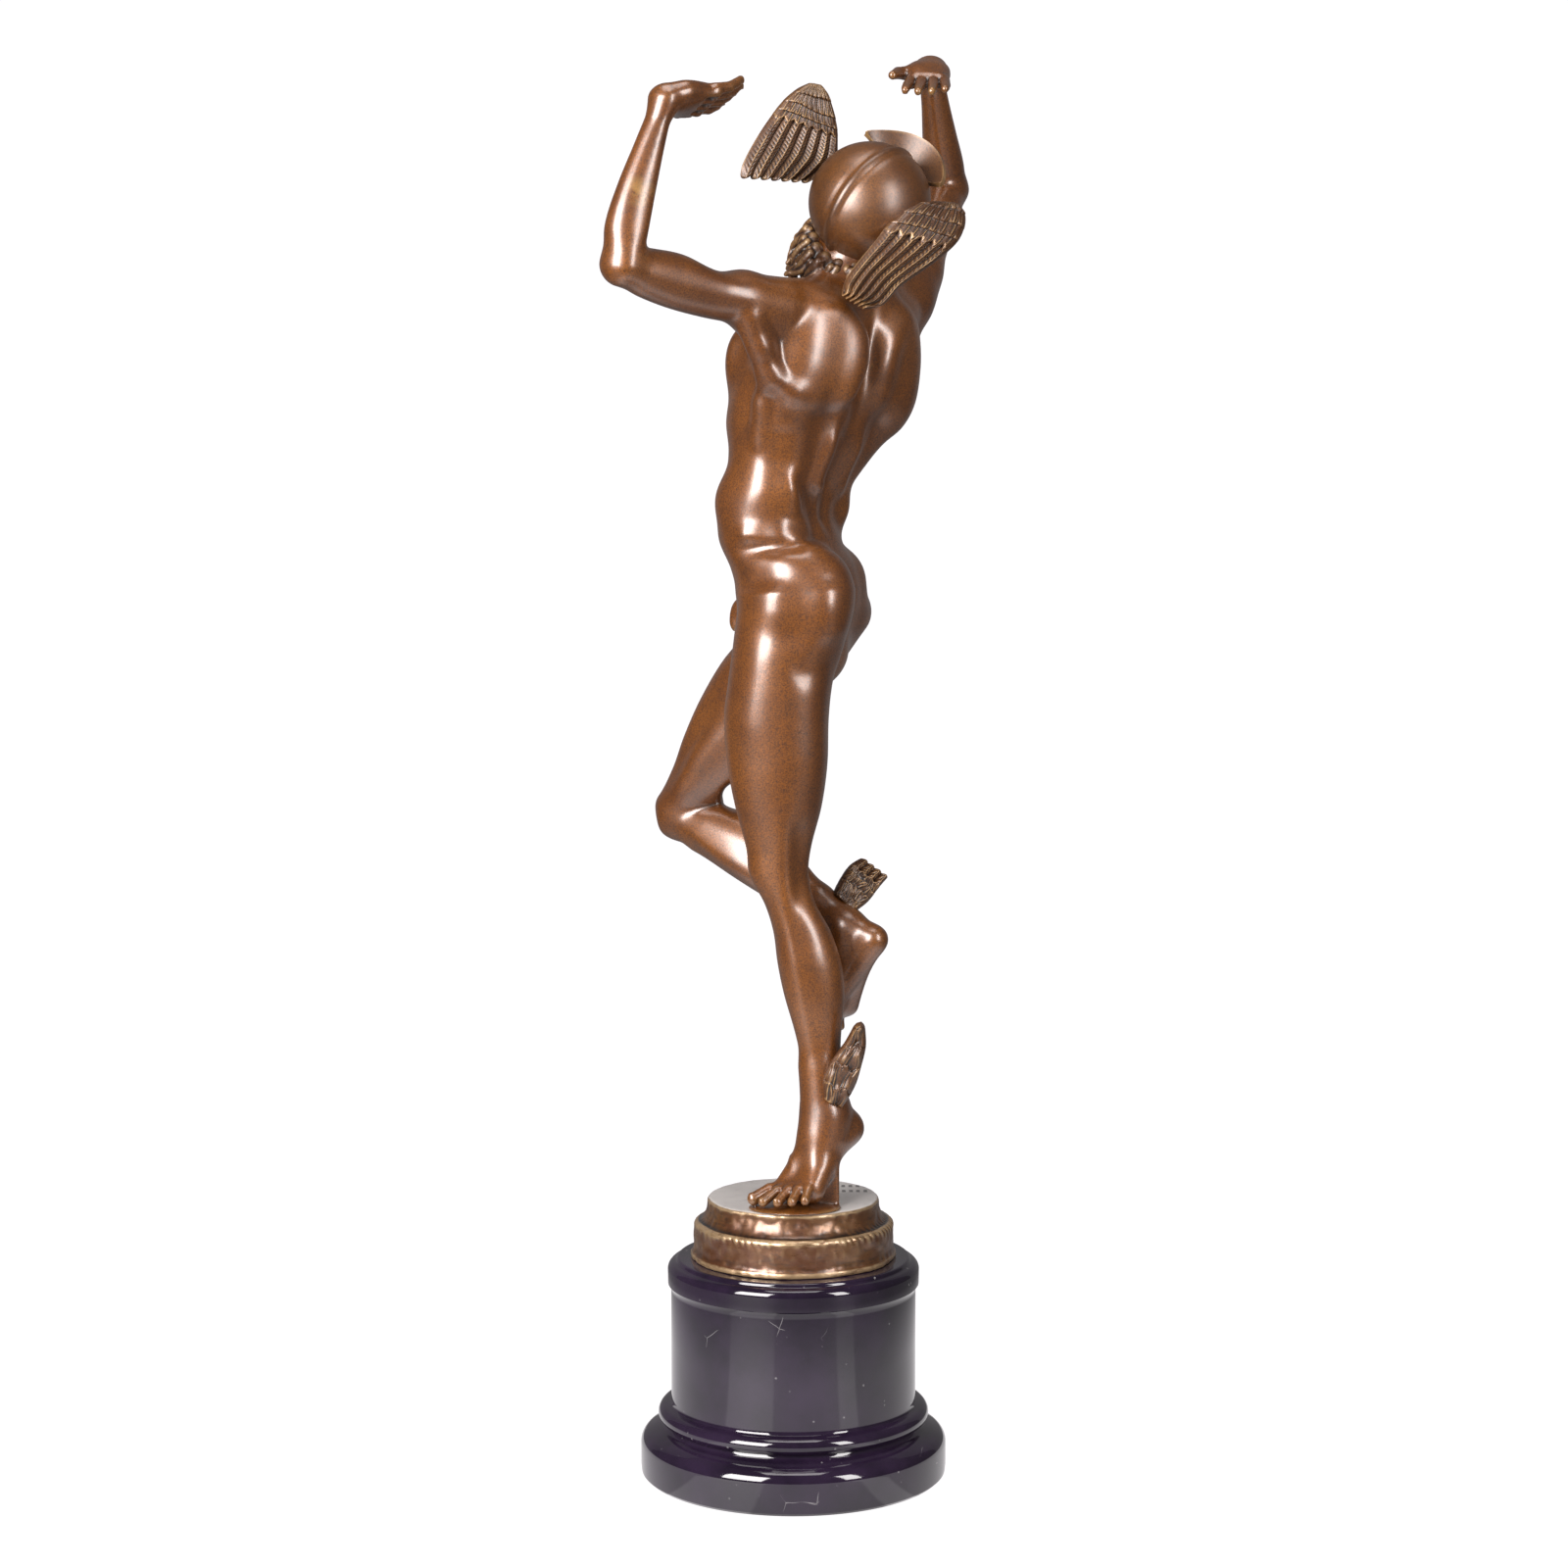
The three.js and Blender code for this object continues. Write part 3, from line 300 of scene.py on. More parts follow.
def sampled(lumps, step):
    """The clay's distance on a grid: fine in the blocks near its surface, and FAR or less in the
    rest. Returns the grid and its low corner."""
    solid = [lump for lump in lumps if lump[4] == ADD]
    low = np.min([lump[0] - lump[1] for lump in solid], axis=0) - 2 * step
    high = np.max([lump[0] + lump[1] for lump in solid], axis=0) + 2 * step
    width = BLOCK * step
    radius = width * 0.87
    counts = np.ceil((high - low) / width).astype(int) + 1
    middles = (low + (np.indices(counts).reshape(3, -1).T + 0.5) * width).astype(np.float32)
    rough = np.full(len(middles), FAR)
    for centre, reach, blend, distance, deed in lumps:
        gap = np.sqrt(np.square(middles - centre).sum(axis=1))
        near = np.nonzero(gap < reach + blend + 3 * radius)[0]
        rough[near] = joined(rough[near], distance(middles[near]), blend, deed)
    busy = np.nonzero(np.abs(rough) < 1.5 * radius)[0]
    active = middles[busy]
    inner = (np.indices((BLOCK,) * 3).reshape(3, -1).T * step - width / 2).astype(np.float32)
    fine = np.full((len(busy), len(inner)), FAR)
    for centre, reach, blend, distance, deed in lumps:
        gap = np.sqrt(np.square(active - centre).sum(axis=1))
        near = np.nonzero(gap < reach + blend + 1.5 * radius)[0]
        if not len(near):
            continue
        if deed != STROKE:
            near = near[distance(active[near]) < blend + 2.6 * radius]
        if not len(near):
            continue
        points = (active[near][:, None, :] + inner).reshape(-1, 3)
        e = distance(points).reshape(len(near), -1)
        fine[near] = joined(fine[near], e, blend, deed)
    field = np.repeat(np.where(rough < 0, -FAR, FAR)[:, None], BLOCK**3, axis=1)
    field[busy] = fine
    nx, ny, nz = counts
    field = field.reshape(nx, ny, nz, BLOCK, BLOCK, BLOCK).transpose(0, 3, 1, 4, 2, 5)
    return field.reshape(nx * BLOCK, ny * BLOCK, nz * BLOCK).astype(np.float32), low


def netted(field, low, step):
    """The surface where a field is zero: one point in each grid cell that it passes through, and
    a quad round each grid edge that it crosses."""
    inside = field < 0
    some, every = inside, inside
    for axis in range(3):
        head = [slice(None)] * 3
        tail = [slice(None)] * 3
        head[axis], tail[axis] = slice(None, -1), slice(1, None)
        some = some[tuple(head)] | some[tuple(tail)]
        every = every[tuple(head)] & every[tuple(tail)]
    cells = np.argwhere(some & ~every)
    corners = [(c & 1, c >> 1 & 1, c >> 2) for c in range(8)]
    values = [field[tuple((cells + corner).T)] for corner in corners]
    total = np.zeros((len(cells), 3))
    count = np.zeros(len(cells))
    for c in range(8):
        for bit in (1, 2, 4):
            if c & bit:
                continue
            a, b = values[c], values[c | bit]
            crossed = (a < 0) != (b < 0)
            share = np.where(crossed, a / np.where(crossed, a - b, 1), 0)
            ends = np.array(corners[c]), np.array(corners[c | bit])
            total += np.where(crossed[:, None], ends[0] + share[:, None] * (ends[1] - ends[0]), 0)
            count += crossed
    points = low + step * (cells + total / count[:, None])
    shape = np.array(field.shape)
    keys = (cells[:, 0] * shape[1] + cells[:, 1]) * shape[2] + cells[:, 2]
    strides = (shape[1] * shape[2], shape[2], 1)
    quads = []
    for axis in range(3):
        one, two = (axis + 1) % 3, (axis + 2) % 3
        first, second = values[0], values[1 << axis]
        crossed = np.nonzero((first < 0) != (second < 0))[0]
        base = keys[crossed]
        ring = [base - strides[one] - strides[two], base - strides[two], base, base - strides[one]]
        quad = np.array([np.searchsorted(keys, key) for key in ring]).T
        outwards = first[crossed] < 0
        quads.append(np.where(outwards[:, None], quad, quad[:, ::-1]))
    return points, np.concatenate(quads)


def eased_out(points, quads, rounds):
    """Points moved a little towards the middle of their neighbours, which evens the net."""
    ends = np.concatenate([quads[:, (n, (n + 1) % 4)] for n in range(4)])
    count = np.bincount(ends[:, 0], minlength=len(points)) + 1e-9
    for _ in range(rounds):
        mean = np.stack([np.bincount(ends[:, 0], points[ends[:, 1], c], len(points)) / count
                         for c in range(3)], axis=1)
        points = points + 0.5 * (mean - points)
    return points


# The pose: the joints of the body
HIP_L, HIP_R = vec(-0.61, -4.29, 55.98), vec(3.59, 4.29, 54.81)
KNEE_L, KNEE_R = vec(-1.32, -3.88, 30.54), vec(-10.8, 11.84, 34.7)
ANKLE_L, ANKLE_R = vec(3, -3.06, 8.46), vec(5, 1.8, 24.9)
SHOULDER_L, SHOULDER_R = vec(-1.8, -7.6, 81.7), vec(10.3, 7.6, 83.4)
ELBOW_L, ELBOW_R = vec(-14.7, -17.1, 84.6), vec(15, 20.5, 94.63)
WRIST_L, WRIST_R = vec(-11.2, -16.2, 98.5), vec(12.9, 12.5, 105.1)
NECK_ROOT = vec(5.53, 0, 83.24)
PELVIS = Place(vec(1.2, 0, 58.6), vec(-0.883, 0.469, 0), vec(0.07, 0.14, 1))
WAIST = Place(vec(-0.6, 0, 65.5), vec(-0.86, 0.5, 0), vec(0.1, 0, 1))
CHEST = Place(vec(2.5, 0, 75.7), vec(-0.72, 0.69, 0), vec(0.14, 0, 1))
HEAD = Place(vec(6.8, -1.6, 90.6), vec(0.65, 0.65, 0.39), vec(0.22, -0.63, 0.745))
UPRIGHT = Place(vec(0, 0, 0), vec(0, 1, 0), vec(0, 0, 1))
SIDES = (1, SHOULDER_L, ELBOW_L), (-1, SHOULDER_R, ELBOW_R)


def torso(clay):
    clay.trunk([
        [51, 0.8, 0.3, 152, 5.6, 5.2, 4, 4], [55.5, 0.6, 0, 152, 7.2, 6.6, 5, 4.8],
        [58.4, 0, 0, 152, 7.3, 6.8, 5.2, 4.9], [61, -0.9, 0, 151, 7.1, 7, 5.5, 4.7],
        [63.7, -1.2, 0, 150, 6.8, 6.8, 5.2, 4.3], [66.4, -0.5, 0, 147, 6.9, 6.8, 5.1, 4.4],
        [69.1, 0.4, 0, 143, 7.4, 7.4, 5.6, 5], [71.7, 1.1, 0, 139, 8, 8, 6.6, 5.5],
        [74.4, 1.9, 0, 136, 8.3, 7.8, 6.9, 5.8], [77, 2.4, 0, 135, 8.3, 8, 6.5, 5.8],
        [79.7, 3.3, 0, 134, 7.9, 8, 5.8, 5.4], [82, 4.4, 0, 134, 6.6, 6.6, 4.6, 4.6],
        [84, 5.2, 0, 134, 4.2, 4.2, 3.2, 3.6],
    ], 1)
    for side, shoulder, elbow in SIDES:
        # Chest, the bundle from the armpit down to the flank, and the mass under the shoulder blade
        clay.eggs(CHEST, ((side * 3.9, 4.2, 1), (3.9, 1.9, 3.6), 2))
        clay.limb(CHEST.at(side * 6.4, -2.2, -2), along(shoulder, elbow, 0.2), 2.2, 1.6, 1.6)
        clay.limb(CHEST.at(side * 6.3, -2.4, -1), WAIST.at(side * 4.4, -2, 1), 2.3, 1.5, 1.6)
        clay.limb(CHEST.at(side * 4.2, -3, 5.4), shoulder, 2.2, 2.2, 2)
        clay.limb(moved(NECK_ROOT, (CHEST.up, 0.4)), moved(shoulder, (CHEST.up, 0.6)), 1.8, 1.3, 1.8)
        clay.eggs(CHEST, ((side * 4.9, -4, 2), (3.2, 1.9, 4.2), 2))
        # The roll of the flank over the hip bone
        clay.eggs(WAIST, ((side * 4.7, 0.2, -1.2), (2, 4, 2.8), 1.6))
    clay.eggs(PELVIS, ((3.9, -2.6, -3.3), (3.8, 4.1, 4.7), 1.2), ((-2.8, -0.5, -1.9), (3.4, 3.2, 3.8), 1.2),
              ((5.4, -0.6, -0.8), (2.3, 3.4, 3.2), 1.4), ((-5, -0.4, -0.9), (2.1, 3, 3.2), 1.4))
    clay.limb(PELVIS.at(0, -7, -1), PELVIS.at(0, -6, -7.6), 0.3, 0.6, 1, CUT)


def back_forms(clay):
    """The shoulder blade of the side seen from behind, with the muscle from it to the arm, the
    broad muscle's front edge below the armpit, and the roll above the hip."""
    blade = Place(CHEST.at(4.9, -4.6, 1.4), CHEST.way(0.34, -0.94, -0.05), CHEST.way(0.2, 0.05, 1))
    clay.egg(blade, blade.origin, (4, 1.3, 3.9), 1)
    clay.chain(line(CHEST, (12.6, -2.6, 3.8), (11, -2.7, 1.6), (9.3, -3.1, -0.9), (7.6, -4.1, -1.9),
                    (5.6, -4.9, -2.1)), (1, 1, 0.95, 0.8, 0.5), 0.9)
    clay.chain(line(CHEST, (12.1, -2.1, 3), (9.9, -2.5, -0.3), (8.5, -1.6, -3.3), (7.6, -1, -6.4)),
               (0.9, 0.85, 0.85, 0.6), 0.8)
    clay.chain(line(WAIST, (6.4, -0.2, -4.4), (5.2, -2.7, -4.2), (3, -3.4, -3.6)), (0.7, 0.75, 0.6), 1)


def back_strokes(clay, side):
    """Long soft ridges beside the spine of one side."""
    clay.strokes(
        (1.4, 0.5, CHEST, (side * 1.9, -5.8, 7), (side * 2.1, -6, 4), (side * 2.3, -6.1, 0),
         (side * 2.3, -5.7, -5)),
        (1.1, 0.7, CHEST, (side * 2.3, -6, -2), (side * 2.3, -5.8, -4), WAIST, (side * 2.2, -4.7, 1),
         PELVIS, (side * 1.6, -4.8, 3), (side * 1.4, -5, 1)),
        (1.2, 0.3, CHEST, (side * 6.4, -4, 7.4), (side * 3.6, -5.8, 5.9), (side * 2.2, -6.2, 3.2),
         (side * 1.4, -6, -0.6)))


def torso_strokes(clay):
    """The hollows and soft ridges of the side, the waist and the seat."""
    clay.strokes(
        (1.3, -0.35, CHEST, (11.4, -1.2, 3.4), (10.5, -1, 1.4), (9.6, -0.8, -0.6), (9, -0.5, -3)),
        (1.7, 0.35, CHEST, (8.9, -1.4, -2.6), (8, -1.6, -6), WAIST, (7.1, -1, 2), (6.9, -1.3, -3)),
        (1.5, -0.25, CHEST, (7.6, -3.2, -4.6), (7, -3.2, -8), WAIST, (6.6, -3, 1.4)),
        (0.9, 0.38, WAIST, (6.6, -3.3, 1.8), (5.4, -3.8, 0), (3.8, -4, -1.7), (1.8, -4, -3.4)),
        (1.1, -0.35, WAIST, (5.2, -4.1, 1.4), (3.8, -4.3, -0.2), (2.4, -4.3, -1.8), (0.6, -4.2, -3.4)),
        (0.85, -0.4, WAIST, (8, 2.4, -6.2), (6.8, -0.8, -5.6), (6.2, -2.9, -5.3), (5.2, -4.6, -5),
         (3.2, -4.9, -4.4), (0.8, -4.6, -3.4)),
        (2.2, 0.35, PELVIS, (7.6, -1.4, 1.6), (8.5, -1.8, -3), (8.2, -1.6, -8)),
        (1.8, -0.25, PELVIS, (7.6, -4, -1.6), (7.6, -3.8, -5), (7, -3.4, -9)),
        (2.3, 0.45, PELVIS, (6.4, -5, -2), (5.8, -5.6, -5), (4.4, -5.8, -8.4)),
        (1.3, -0.3, PELVIS, (0.6, -5.3, -8.6), (2.8, -5.2, -9.4), (4.4, -4.9, -9.9), (5.8, -3.9, -10.3),
         (7.4, -2.2, -10.2)),
        # The furrow of the spine, and the flat above the cleft
        (0.7, -0.8, CHEST, (0, -5.2, 9), (0, -5.6, 3), (0, -5.6, -1), (0, -5.3, -5), WAIST,
         (0, -4.4, 1), (0, -4.2, -2), PELVIS, (0, -4.9, 1)))


def leg_strokes(clay):
    """Tendons and hollows of the legs, where the light shows them."""
    clay.strokes(
        # Behind the standing thigh: the hamstrings
        (1.9, 0.25, (-2.7, -8.2, 54), (-3.2, -8.1, 49.5), (-3.6, -7.6, 45), (-3.4, -7.4, 41)),
        (1.5, 0.15, (1.9, -7.6, 54), (2, -7.3, 49), (2.1, -7, 44), (2, -6.4, 37)),
        # The knee pit between its two tendons, and the calf
        (1.1, 0.22, (-1.3, -7, 38), (-1, -6.7, 33.5), (-0.7, -6.2, 30), (-0.4, -6, 26.5)),
        (1.1, -0.35, (0.4, -6.4, 37), (0.5, -5.9, 33.5), (0.6, -5.6, 30.5), (0.8, -5.6, 27)),
        (1.6, 0.22, (2.2, -5.2, 31), (2.9, -5.2, 25.4), (3.6, -4.8, 21.6), (3.7, -4.5, 15)),
        (1.1, -0.2, (-0.5, -6, 30), (0.3, -5.8, 23), (1.3, -5.4, 18), (2.1, -5, 10)),
        # The raised leg: the muscle behind the thigh, and the hollow above it
        (1.4, 0.5, (-4.8, 6.6, 45), (-7.2, 7.2, 42), (-9, 7.7, 40), (-10.9, 8.6, 37.2), (-12.2, 9.6, 34)),
        (1.4, -0.4, (-5, 6.9, 47.6), (-7.4, 7.5, 44.4), (-9.6, 8.2, 42), (-11.6, 9.1, 38.8),
         (-12.6, 9.9, 35.6)))


def standing_leg(clay):
    """The leg that bears the weight, as level sections from its ankle to its hip. Each row has the
    share of the bone's length, and half-widths to the left, right, front and back."""
    shin = ((1.1, 1.9, 1.5, 1.5, 1.7), (1, 1.85, 1.5, 1.5, 1.7), (0.92, 1.7, 1.45, 1.35, 1.75),
            (0.82, 1.6, 1.5, 1.25, 2.1), (0.66, 2, 2.1, 1.3, 2.9), (0.5, 2.6, 2.8, 1.6, 3.8),
            (0.37, 2.8, 3, 1.6, 4.1), (0.24, 2.6, 2.8, 1.4, 3.7), (0.12, 2.4, 2.5, 1.8, 2.8))
    thigh = ((1, 2.45, 2.45, 2.7, 2.7), (0.9, 2.7, 2.7, 3.1, 2.85), (0.75, 3.4, 3.2, 4.2, 3.7),
             (0.6, 4, 3.6, 5, 4.1), (0.43, 4.3, 4, 5.4, 4.1), (0.3, 4.5, 4.3, 5.1, 4.4),
             (0.15, 4.6, 4.6, 4.7, 5.4), (0, 4.6, 4.2, 4.4, 5.2))
    faces, hip_turn = 189, 18
    rows = []
    for upper, lower, turn, part in (KNEE_L, ANKLE_L, 0, shin), (HIP_L, KNEE_L, hip_turn, thigh):
        for share, *widths in part:
            x, y, z = along(upper, lower, share)
            rows.append([z, x, y, faces - turn * (1 - share), *widths])
    clay.trunk(rows, 1.2, 1.2)


def raised_leg(clay):
    clay.loft(HIP_R, KNEE_R, vec(-0.89, 0.44, 0.6), -1, [
        [0, 4.6, 4.2, 4.4, 3.7], [0.15, 4.6, 4.6, 4.7, 3.8], [0.3, 4.5, 4.3, 5.1, 4],
        [0.43, 4.3, 4, 5.4, 4], [0.6, 4, 3.6, 5, 4.1], [0.75, 3.4, 3.2, 4.2, 3.7],
        [0.88, 2.8, 2.8, 3.2, 2.8], [1, 2.4, 2.5, 2.7, 2.6],
    ], 1.2, 0.8)
    clay.loft(KNEE_R, ANKLE_R, vec(-0.39, 0.14, -0.89), -1, [
        [0, 2.4, 2.5, 2.7, 2.6], [0.1, 2.4, 2.5, 2.2, 2.7], [0.2, 2.6, 2.8, 1.5, 3.4],
        [0.37, 2.8, 3, 1.7, 4.1], [0.5, 2.6, 2.8, 1.7, 3.8], [0.66, 2, 2.1, 1.5, 2.9],
        [0.82, 1.5, 1.5, 1.2, 1.9], [1, 1.2, 1.3, 1.2, 0.9],
    ], 0.5, 0.8)
    down = vec(-0.4, 0, -0.9)
    clay.limb(moved(along(KNEE_R, ANKLE_R, 0.16), (down, 0.8)),
              moved(along(KNEE_R, ANKLE_R, 0.6), (down, 0.6)), 1.5, 1.2, 1)
    # The hollow behind the knee cuts this leg alone, so it comes before the standing leg
    clay.limb(vec(-5.9, 12.5, 36.9), vec(-5, 6, 36.5), 1.1, 1.4, 0.8, CUT)


def foot(clay, side, place, toe_place, fan, knee, bone):
    """A foot: place has its origin at the ankle, the toes bend to the toe place's directions and
    fan out, and the instep flows up into the shin towards the knee. Bone is 1 where the ankle's
    bones and the heel stand out, and 0 where they don't."""
    ankle = place.origin
    out = place.left * side
    shin = unit_way(knee - ankle)
    heel = place.at(0, -0.7, -2.8)
    ball_in = moved(place.at(0, 7.5, -3.1), (out, -1.3))
    ball_out = moved(place.at(0, 6.5, -3.2), (out, 1.8))
    clay.limb(moved(ankle, (shin, 4)), moved(ankle, (place.front, 1.8), (place.up, -0.4)), 1.3, 1.3, 2)
    clay.limb(moved(ankle, (shin, 3.4), (place.front, -0.8)), heel, 0.9, 0.75 + 0.25 * bone, 1.5)
    clay.egg(place, heel, [1.1, 0.85 + 0.25 * bone, 1.1 + 0.3 * bone], 1.2)
    if bone:
        clay.egg(place, moved(ankle, (out, 1.1), (place.up, -0.2)), [0.75, 0.9, 1], 1.3)
        clay.egg(place, moved(ankle, (out, -1.1), (place.up, 0.2)), [0.8, 0.9, 1], 1.3)
    clay.limb(ankle, ball_in, 1.4, 0.9, 1.5)
    clay.limb(ankle, ball_out, 1.35, 0.85, 1.5)
    clay.limb(heel, ball_out, 1, 0.8, 1.2)
    clay.limb(heel, ball_in, 0.9, 0.8, 1.2)
    for toe in range(5):
        root = along(ball_in, ball_out, toe / 4)
        length = [3.3, 3.5, 3.2, 2.8, 2.2][toe]
        radius = [0.68, 0.52, 0.5, 0.49, 0.48][toe]
        ahead = unit_way(toe_place.front + out * fan * (toe - 0.6))
        back = moved(root, (place.front, -2.8), (place.up, 0.65))
        rise = moved(root, (ahead, 0.3), (toe_place.up, 0.45))
        knuckle = moved(root, (ahead, length * 0.5), (toe_place.up, 0.42))
        tip = moved(root, (ahead, length), (toe_place.up, radius - 0.95))
        clay.limb(back, rise, radius * 0.8, radius * 0.95, 0.9)
        clay.limb(rise, knuckle, radius * 0.95, radius * 0.9, 0.3)
        clay.limb(knuckle, tip, radius * 0.88, radius * 0.9, 0.1)
        clay.egg(toe_place, moved(tip, (ahead, 0.2), (toe_place.up, radius * 0.7)),
                 [radius * 0.5, radius * 0.55, 0.12], 0.05)
    clay.egg(toe_place, moved(along(ball_in, ball_out, 0.5), (toe_place.front, 0.2)), [1.9, 1.5, 0.7], 0.6)


def arm(clay, side, shoulder, elbow, wrist, flexor, bow, cap):
    """An arm: flexor is the way that its biceps faces, bow how far the middle of the forearm bends
    away from the upper arm's side, and cap how far the shoulder's muscle stands up."""
    clay.loft(shoulder, elbow, flexor, side, [
        [0, 2.6, 2.4, 2.3 - cap, 2.6], [0.22, 2.8, 2.3, 2.3, 2.4], [0.42, 2.3, 2.1, 2.3 - cap, 2.6],
        [0.65, 2.1, 2.1, 2.2, 2.6], [0.85, 2, 2, 2, 2.3], [1, 1.9, 2, 1.7, 1.8],
    ], 1.6, 0.9)
    clay.loft(elbow, wrist, shoulder - elbow, side, [
        [0, 1.8, 1.9, 1.6, 1.7], [0.2, 1.9, 2, 1.8 - bow, 1.8 + bow],
        [0.45, 1.6, 1.7, 1.6 - bow, 1.6 + bow],
        [0.75, 1.3, 1.3, 1.2 - bow / 2, 1.2 + bow / 2], [1, 1.2, 1.2, 0.95, 0.95],
    ], 1, 0.9)


def hand(clay, side, wrist, place, rise, curl):
    """A hand bent back at the wrist: the place's front runs to the fingers and its up out of the
    palm. The fingers leave the palm with a slope of rise and bend on to a slope of curl."""
    thumbward = place.left * side
    front, up = place.front, place.up
    clay.limb(wrist, moved(wrist, (front, 1.8), (up, 0.1)), 1.05, 0.85, 1.5)
    clay.block(place, moved(wrist, (front, 3)), [1.75, 2, 0.66], 0.6, 1.2)
    clay.egg(place, moved(wrist, (front, 2.4), (thumbward, 1.1), (up, 0.4)), [0.8, 1.5, 0.7], 0.8)
    clay.egg(place, moved(wrist, (front, 1.9), (up, 0.3)), [1.5, 2, 0.6], 1.3)
    first, last = place.way(0, 1, rise), place.way(0, 1, curl)
    for finger in range(4):
        spread = 1.5 - 1.02 * finger
        length = [4.4, 5, 4.7, 3.7][finger]
        fan = unit_way(first + thumbward * 0.09 * (1.5 - finger))
        root = moved(wrist, (front, 4.5), (thumbward, spread))
        bend = 0.12 * (finger % 2)
        middle = moved(root, (fan, length * 0.42))
        outer = moved(middle, (along(fan, last, 0.6 + bend), length * 0.28))
        tip = moved(outer, (last, length * 0.22))
        clay.limb(root, middle, 0.56, 0.46, 0.22)
        clay.limb(middle, outer, 0.47, 0.42, 0.1)
        clay.limb(outer, tip, 0.42, 0.36, 0.08)
        clay.egg(place, moved(tip, (up, -0.32)), [0.26, 0.34, 0.1], 0.04)
        # The tendon and the knuckle on the back of the hand
        back = moved(wrist, (front, 1), (thumbward, spread * 0.35), (up, -0.5))
        clay.limb(back, moved(root, (up, -0.42)), 0.32, 0.34, 0.45)
        if finger:
            gap = moved(wrist, (thumbward, spread + 0.51))
            clay.stroke([moved(gap, (front, 3), (up, -0.75)), moved(gap, (front, 4.6), (up, -0.6))],
                        0.32, -0.3)
    thumb_root = moved(wrist, (front, 1.9), (thumbward, 1.5), (up, 0.2))
    thumb_middle = moved(thumb_root, (front, 1.7), (thumbward, 1.3), (up, 0.3))
    thumb_tip = moved(thumb_middle, (front, 1.8), (thumbward, 0.4), (up, 0.1))
    clay.limb(thumb_root, thumb_middle, 0.75, 0.56, 0.35)
    clay.limb(thumb_middle, thumb_tip, 0.56, 0.42, 0.12)


def neck_and_face(clay):
    clay.limb(NECK_ROOT, HEAD.at(0, -1.6, -3.4), 3.2, 2.9, 1.6)
    clay.eggs(HEAD, ((0, 0.2, 0), (4, 5, 5), 1), ((0, 1.9, -3.6), (3.1, 3.2, 3.8), 1),
              ((0, 3.9, -6.1), (1.3, 1.1, 1), 0.8))
    # Nose, brow and lips, then the eyes and cheeks
    clay.limb(HEAD.at(0, 4.7, -0.2), HEAD.at(0, 5.6, -2.5), 0.5, 0.62, 0.5)
    clay.eggs(HEAD, ((0, 4.6, 0.6), (2.8, 0.9, 0.7), 0.8), ((0, 4.6, -4.2), (1.2, 0.7, 0.5), 0.5))
    for side in (1, -1):
        clay.eggs(HEAD, ((side * 1.7, 4.9, -0.7), (1, 0.5, 0.5), 0.4, CUT),
                  ((side * 1.7, 4.2, -0.7), (0.8, 0.6, 0.45), 0.2),
                  ((side * 2.4, 3.2, -2.2), (1.2, 1, 1.3), 0.8))


def body_clay():
    clay = Clay()
    torso(clay)
    raised_leg(clay)
    standing_leg(clay)
    sole = Place(ANKLE_L, vec(-0.62, -0.43, -0.66), vec(-0.54, -0.37, 0.755))
    on_ground = Place(vec(0, 0, 0), vec(-0.82, -0.57, 0), vec(0, 0, 1))
    foot(clay, 1, sole, on_ground, 0.22, KNEE_L, 1)
    hanging = Place(ANKLE_R, vec(-0.56, 0.2, -0.8), vec(-0.73, 0.45, 0.5))
    foot(clay, -1, hanging, hanging, 0.04, KNEE_R, 0)
    arm(clay, 1, SHOULDER_L, ELBOW_L, WRIST_L, vec(0.2, 0.1, 1), 0.6, 0.7)
    arm(clay, -1, SHOULDER_R, ELBOW_R, WRIST_R, vec(-0.1, -0.8, 0.6), 0, 0)
    palm_l = Place(WRIST_L, vec(0.64, 0.7, 0.2), vec(-0.38, 0.27, 0.88))
    palm_r = Place(WRIST_R, vec(-0.1, -0.93, -0.35), vec(0, -0.3, 0.95))
    hand(clay, 1, WRIST_L + vec(0.3, 0, 0.1), palm_l, 0.05, 0.5)
    hand(clay, -1, WRIST_R - vec(0, 0, 0.35), palm_r, -0.08, 0.02)
    neck_and_face(clay)
    clay.eggs(PELVIS, ((-0.2, 5.8, -4.2), (1.1, 1.8, 1.5), 0.5), ((-0.2, 7, -5), (0.7, 0.7, 1.2), 0.3))
    back_forms(clay)
    back_strokes(clay, 1)
    back_strokes(clay, -1)
    torso_strokes(clay)
    leg_strokes(clay)
    # The prop under the arch and the thin oval plate that foot and prop are cast with
    clay.block(UPRIGHT, vec(1.9, -3.9, 2.2), (2.3, 0.9, 2.4), 0.3, 0.3)
    clay.egg(UPRIGHT, vec(0.1, -5.2, 0), (4.3, 3.1, 0.4), 0.2)
    # Nothing hangs below the level that the figure stands on
    clay.block(UPRIGHT, vec(0, 0, -9), (40, 40, 9), 0.01, 0.02, CUT)
    return clay


def made_by(operator, **settings):
    """The object that one of Blender's operators makes."""
    operator(**settings)
    return bpy.context.object


def only(piece):
    """Makes a piece the active one, and selects nothing else."""
    bpy.ops.object.select_all(action="DESELECT")
    piece.select_set(True)
    bpy.context.view_layer.objects.active = piece


def finished(piece, name, node, material, angle=None):
    """Names a piece, shades it smooth, gives it its material, and hides the model's part that it stands
    for.
    """
    piece.name = piece.data.name = name
    only(piece)
    bpy.ops.object.transform_apply(location=True, rotation=True, scale=True)
    if angle is None:
        bpy.ops.object.shade_smooth()
    else:
        bpy.ops.object.shade_smooth_by_angle(angle=math.radians(angle))
    piece.select_set(False)
    piece.data.materials.clear()
    piece.data.materials.append(material)
    mark_curvature(piece)
    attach(piece, "root")
    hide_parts(node)


